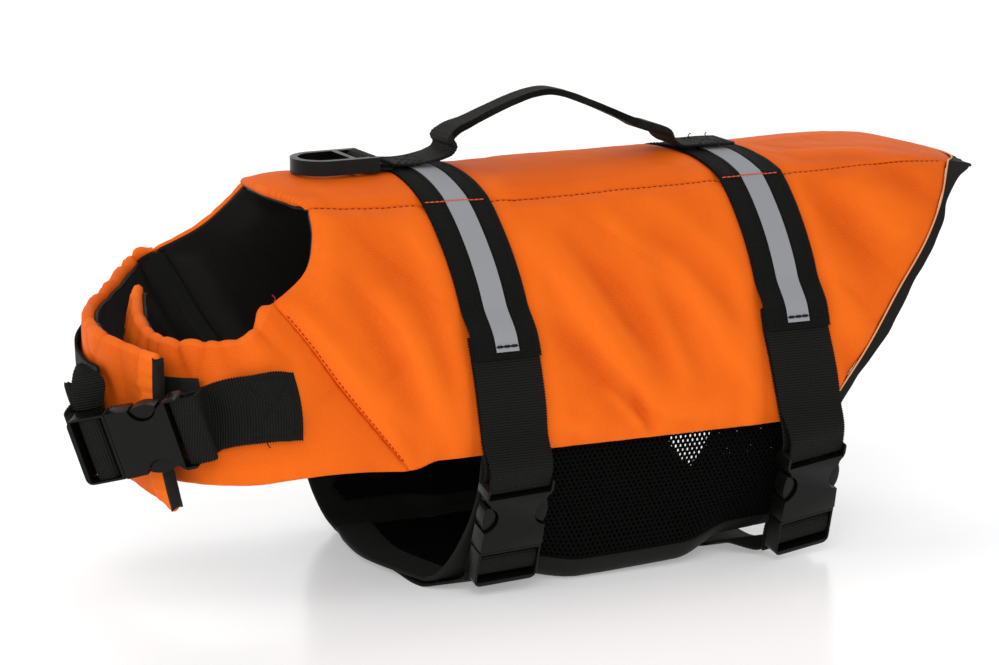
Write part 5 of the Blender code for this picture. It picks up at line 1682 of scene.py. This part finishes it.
def capsules(name, centre, facing, radius, finish):
    """Thin round bars with closed ends, each a row of rings of six points.

    Ring point = centre + radius * (cos a * side + sin a * up), with side and up square to the way.
    """
    count, rings = centre.shape[:2]
    ahead = unit(np.gradient(centre, axis=1))
    side = unit(np.cross(ahead, facing))
    up = np.cross(side, ahead)
    turns = (np.arange(6) * math.pi / 3)[:, None]
    spoke = np.cos(turns) * side[:, :, None] + np.sin(turns) * up[:, :, None]
    points = centre[:, :, None] + np.asarray(radius)[:, None, None] * spoke
    index = np.arange(6 * rings).reshape(rings, 6)
    after = np.roll(index, -1, axis=1)
    body = np.stack([index[:-1], after[:-1], after[1:], index[1:]], axis=-1).reshape(-1, 4)
    first, last = index[0], index[-1]
    caps = [first[[3, 2, 1, 0]], first[[5, 4, 3, 0]], last[[0, 1, 2, 3]], last[[0, 3, 4, 5]]]
    one = np.concatenate([body, np.stack(caps)])
    quads = (one[None] + 6 * rings * np.arange(count)[:, None, None]).reshape(-1, 4)
    return mesh_object(name, points.reshape(-1, 3), quads, finish)


seam_bindings = []
reach = np.linspace(-SEAM_COVER, SEAM_COVER, 7)[None, :]
x = np.linspace(NECK_EDGE["x"][0] + 5, REAR_EDGE["x"][0] - 4, 151)[:, None]
for which, word in SIDES:
    seam_bindings.append(seam_binding(f"back_seam_{word}", x, which * (HALF_BACK + reach)))
    girth = which * np.linspace(DIAGONAL_TOP - 0.5, HEM - 6, 61)[:, None]
    seam_bindings.append(seam_binding(f"neck_seam_{word}", front_x(girth) + reach, girth))

# painted highlight: a pale cord along the tail edge stands for the light on the orange cloth's
# folded edge
round_tail = np.linspace(-HEM + 2, HEM - 2, 397)
edge_highlight_x = rear_x(round_tail) + 0.25
points, lean = on_torso(edge_highlight_x, round_tail)
middle = points - lean * 1.35
edge_highlight = capsules("tail_piping", middle[None], lean[None], np.full(397, 0.54), "pale_thread")
print(edge_highlight.name, len(edge_highlight.data.polygons), "faces")

# %% [markdown]
# ## Stitches
# A stitch is a short bar of thread, thick in its middle, with both ends sunk into the cloth. One
# function sets a stitch at each pitch along a line, and another finds lines on a piece of cloth by
# row and column numbers of its grid, so the thread lies on the folds as they are.

# %% Lines of stitches
def on_grid(grid, rows, cols):
    """Points at fractional row and column numbers: the four nearest, weighted by closeness."""
    rows, cols = np.broadcast_arrays(np.asarray(rows, float), np.asarray(cols, float))
    i = np.clip(np.floor(rows).astype(int), 0, grid.shape[0] - 2)
    j = np.clip(np.floor(cols).astype(int), 0, grid.shape[1] - 2)
    s, t = (rows - i)[..., None], (cols - j)[..., None]
    near = grid[i, j] * (1 - t) + grid[i, j + 1] * t
    far = grid[i + 1, j] * (1 - t) + grid[i + 1, j + 1] * t
    return near * (1 - s) + far * s


def line_on(grid, rows, cols, lift, toward):
    """A line on a grid, lifted off it toward one side: points and unit normals."""
    lean = on_grid(facing(grid), rows, cols)
    lean = lean * np.sign((lean @ np.asarray(toward, float)).mean())
    return on_grid(grid, rows, cols) + lean * lift, lean


def stitches(name, lines, pitch, dash, radius, finish):
    """Stitches on lines of (points, normals), one at each pitch, with a length of dash."""
    share, bulk = np.array([-1, -0.55, 0.55, 1]), np.array([0.35, 1, 1, 0.35])
    centres, leans = [], []
    for points, lean in lines:
        at = measured(strides(points))
        count = max(int(at[-1] / pitch), 1)
        place = (np.arange(count)[:, None] + 0.5) * pitch + share * dash / 2
        centre, lean = (
            np.stack([np.interp(place, at, values[:, k]) for k in range(3)], axis=-1)
            for values in (points, lean)
        )
        leans.append(unit(lean))
        centres.append(centre + leans[-1] * (radius * (0.6 * bulk - 0.3))[:, None])
    return capsules(name, np.concatenate(centres), np.concatenate(leans), radius * bulk, finish)


COLUMNS = np.arange(len(ACROSS))
BOX = ((0, 0, 1, 0), (1, 0, 1, 1), (1, 1, 0, 1), (0, 1, 0, 0), (0, 0, 1, 1), (0, 1, 1, 0))


def box_stitch(name, first, last, side, toward):
    """A sewn box with a cross in it on a webbing, between two rows; negative ones count back."""
    grid, half = WEBS[name]
    first, last = (row + len(grid) * (row < 0) for row in (first, last))
    steps, lines = np.linspace(0, 1, 31), []
    for row0, col0, row1, col1 in BOX:
        rows = first + (last - first) * (row0 + (row1 - row0) * steps)
        across = -side + 2 * side * (col0 + (col1 - col0) * steps)
        lines.append(line_on(grid, rows, np.interp(across, ACROSS, COLUMNS), half, toward))
    return lines


print("stitch tools ready; webbing grids:", len(WEBS))

# %% Sew the seams
UP = (0, 0, 1)
seam_lines, over_lines, slanted_lines = [], [], []
for which, word in SIDES:
    skin = SKINS[f"side_foam_{word}"]
    toward = (0, which, 0.4)
    seam_row = 0.6 if which == RIGHT else len(skin) - 1.6
    x = on_grid(skin, seam_row, np.arange(skin.shape[1]))[:, 0]
    stops = [x[0] + 2]
    for strap in STRAPS:
        stops += [strap.x_seam - WEBBING / 2 - 1, strap.x_seam + WEBBING / 2 + 1]
    stops.append(x[-1] - 2)
    for low, high in zip(stops[::2], stops[1::2]):
        cols = np.interp(np.linspace(low, high, int(high - low)), x, np.arange(len(x)))
        seam_lines.append(line_on(skin, seam_row, cols, 0.05, toward))
    rows = np.where(np.abs(side_girths(which)) > DIAGONAL_TOP + 1)[0][2:-2]
    slanted_lines.append(line_on(skin, rows.astype(float), 0.6, 0.05, toward))
    for strap in STRAPS:
        x = strap.x_seam + np.linspace(-WEBBING / 2 + 0.5, WEBBING / 2 - 0.5, 77)
        thread_girth = which * (HALF_BACK + 1.8)
        lean = torso_outward(x, thread_girth)
        on_tape = (TAPE_THICK + 0.05) * (1 - ramp(np.abs(x - strap.x_seam) - TAPE_WIDTH / 2, 1))
        lift = PRESSED + WEBBING_THICK + on_tape
        over_lines.append((torso(x, thread_girth) + lean * lift[:, None], lean))
sewn = [
    stitches("back_seam_stitches", seam_lines, 3.4, 1.9, 0.30, "red_thread"),
    stitches("slanted_seam_stitches", slanted_lines, 2.9, 1.9, 0.32, "bright_thread"),
    stitches("strap_seam_stitches", over_lines, 2.9, 2.8, 0.40, "orange_thread"),
]
for piece in sewn:
    print(piece.name, len(piece.data.polygons), "faces")

# %% Sew the webbing
dark_lines, gap_lines = [], []
for strap in STRAPS:
    grid, half = WEBS[f"{strap.name}_upper_strap"]
    rows = np.linspace(2, len(grid) - 3, 290)
    for across in (-0.88, -0.45, 0.45, 0.88):
        dark_lines.append(line_on(grid, rows, np.interp(across, ACROSS, COLUMNS), half, UP))
    tape, tape_half = WEBS[f"{strap.name}_tape"]
    for row in (2.2, 7.0, len(grid) - 8.0, len(grid) - 3.2):
        dark_lines.append(line_on(grid, row, np.linspace(0.6, len(ACROSS) - 1.6, 30), half, UP))
    for row in (1.8, len(tape) - 2.8):
        gap_lines.append(line_on(tape, row, np.linspace(0, len(ACROSS) - 1.0, 20), tape_half, UP))
for name, first, last, side, toward in (
    ("chest_webbing_left", 5, 38, 0.86, CHEST.outward),
    ("chest_webbing_right", -38, -5, 0.86, (0, 1, 0)),
    ("handle_webbing_piece", 4, 28, 0.84, UP),
    ("handle_webbing_piece", -32, -5, 0.84, UP),
):
    dark_lines += box_stitch(name, first, last, side, toward)
sewn += [
    stitches("webbing_stitches", dark_lines, 3.8, 3.0, 0.27, "black_thread"),
    stitches("tape_end_stitches", gap_lines, 4.2, 4.5, 0.75, "black_thread"),
]
print("webbing stitches", len(sewn[-2].data.polygons), "faces")

# %% [markdown]
# ### Loose threads
# A few ends of thread were not cut short. Each is a thin bar through four points, smoothed by the
# same cubic as the tables.

# %% Loose threads
corner = torso(front_x(-DIAGONAL_TOP), -DIAGONAL_TOP)
chest_edge = on_grid(WEBS["chest_webbing_left"][0], 26.0, 10.0)
LOOSE = {
    "bright_thread": [[corner, (0.3, -0.6, 1.2), (-0.4, -1.0, 2.6), (-1.6, -1.2, 3.6)]],
    "black_thread": [
        [chest_edge, (-0.4, -0.8, -1.0), (0.2, -1.2, -2.2), (1.0, -1.2, -3.0)],
        [np.array([107.0, 12.2, 218.8]), (0.3, 0.2, 0.8), (1.0, 0.3, 1.4), (1.8, 0.3, 1.6)],
        [np.array([118.0, 12.2, 218.4]), (-0.2, 0.2, 0.8), (0.1, 0.3, 1.6), (0.7, 0.3, 2.0)],
    ],
}
for finish, threads in LOOSE.items():
    middles = []
    for start, *steps in threads:
        stations = np.array([(0, 0, 0), *steps], float) + start
        fine = np.linspace(0, 3, 19)
        curve = [smooth(fine, np.arange(4.0), column) for column in stations.T]
        middles.append(np.stack(curve, axis=1))
    leans = np.broadcast_to((0.0, -0.3, 1.0), (len(middles), 19, 3))
    sewn.append(capsules(f"loose_{finish}", np.array(middles), leans, np.full(19, 0.3), finish))
    print(sewn[-1].name, len(threads), "ends")

# %% [markdown]
# ## Join the fixed frame
# Every soft piece takes the place of its plain solid and rides on the jacket's body. The foam
# panels are padded, and for all other cloth, which is flat, the cut size and area are printed.

# %% Ride and replace
PANEL_NODES = """
    back_panel back_lining side_panel_left side_lining_left side_panel_right side_lining_right
    neck_flap_left flap_lining_left neck_flap_right flap_lining_right"""
stand_for(dict(zip(PANEL_NODES.split(), [piece for pair in panels.values() for piece in pair])))
for piece in PIECES:
    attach(piece, "jacket")
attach(swinging_ring, "ring")
print(len(PIECES), "pieces ride on the jacket")

NARROWEST = 0.0101  # a tape is cut at least this wide, in metres
SHEETS = {}
for held, carrier, names in (
    ("folded", "back_foam", "tail_tape handle_webbing_piece ring_webbing"),
    ("folded", "base_net", "belly_tape_front belly_tape_rear"),
    ("folded", "wing_net_left", "belly_tape_left"),
    ("folded", "wing_net_right", "belly_tape_right"),
    ("stretched", "belly_tape_left", "wing_net_left wing_layer_left"),
    ("stretched", "belly_tape_right", "wing_net_right wing_layer_right"),
    ("stretched", "belly_tape_front", "base_net"),
    ("laid", "back_foam", "front_upper_strap rear_upper_strap"),
    ("laid", "front_upper_strap", "front_tape"),
    ("laid", "rear_upper_strap", "rear_tape"),
    ("folded", "side_foam_left", "front_hanging_loop rear_hanging_loop"),
    ("stretched", "side_foam_right", "front_girth_strap rear_girth_strap"),
    ("folded", "neck_foam_left", "chest_webbing_left"),
    ("laid", "neck_foam_right", "chest_webbing_right"),
    ("folded", "chest_buckle_plug", "chest_webbing_end chest_webbing_fold"),
    ("laid", "neck_foam_left", "hook_patch"),
):
    SHEETS.update({name: (held, carrier) for name in names.split()})
for foam, lining in panels.values():
    SHEETS[lining.name] = ("laid", foam.name)
for binding in seam_bindings:
    SHEETS[binding.name] = ("laid", panels["back"][1].name)
for piece in PIECES:
    finish = piece.data.materials[0].name
    if piece.name in SHEETS:
        held, carrier = SHEETS.pop(piece.name)
        flat = [max(side, NARROWEST) for side in piece["flat"]]
        sizes = [round(side * 1000, 1) for side in flat]
        print(piece.name, "cut", sizes, "mm,", round(piece["area"] * 1e4, 1), "square cm")
print("sheets left over:", list(SHEETS))

# %% [markdown]
# ## Studio
# The floor is plain and pale, and lit so softly that the jacket's shadow is only a pale grey under
# it. The sky is brighter at the horizon than above. Large square lights stand beside the jacket,
# above it and before its head, and a wide sun gives the folds their soft shade.

# %% Studio
world = bpy.data.worlds.new("studio")
world.use_nodes = True
sky = world.node_tree
sky.nodes["Background"].inputs["Color"].default_value = (1, 1, 1, 1)
direction = add(sky, "ShaderNodeTexCoord", {}).outputs["Generated"]
height = add(sky, "ShaderNodeSeparateXYZ", {0: direction}).outputs[2]
strength = span(sky, height, 0.0, 0.7, 1.05, 0.42)
sky.links.new(strength, sky.nodes["Background"].inputs["Strength"])
bpy.context.scene.world = world
bpy.context.scene.view_settings.view_transform = "Standard"
tree, shader = start_finish("studio_floor", (0.95, 0.95, 0.95), 0.22, 0.5, Emission_Strength=0.3)
shader.inputs["Emission Color"].default_value = (1, 1, 1, 1)
ground = bpy.data.meshes.new("floor")
ground.from_pydata([(-9, -9, 0), (9, -9, 0), (9, 9, 0), (-9, 9, 0)], [], [(0, 1, 2, 3)])
ground.materials.append(FINISHES["studio_floor"])
floor = placed("floor", ground)


def softbox(name, place, aim, size, power, colour=(1, 1, 1)):
    """A square area light at a place, turned to look at a point."""
    data = bpy.data.lights.new(name, "AREA")
    data.shape, data.size, data.energy, data.color = "SQUARE", size, power, colour
    lamp = placed(name, data)
    lamp.location = place
    lamp.rotation_euler = (Vector(aim) - Vector(place)).to_track_quat("-Z", "Y").to_euler()


softbox("key", (-1.2, -2.3, 1.25), (0, 0, 0.12), 1.0, 14)
softbox("top", (0.3, 0.9, 1.9), (0, 0, 0.12), 1.0, 7)
softbox("side", (-2.3, -0.1, 1.1), (-0.2, 0, 0.12), 0.7, 8)
sun = bpy.data.lights.new("sun", "SUN")
sun.energy, sun.angle = 0.55, math.radians(40)
lamp = placed("sun", sun)
lamp.rotation_euler = Vector((0.45, 0.75, -0.95)).to_track_quat("-Z", "Y").to_euler()
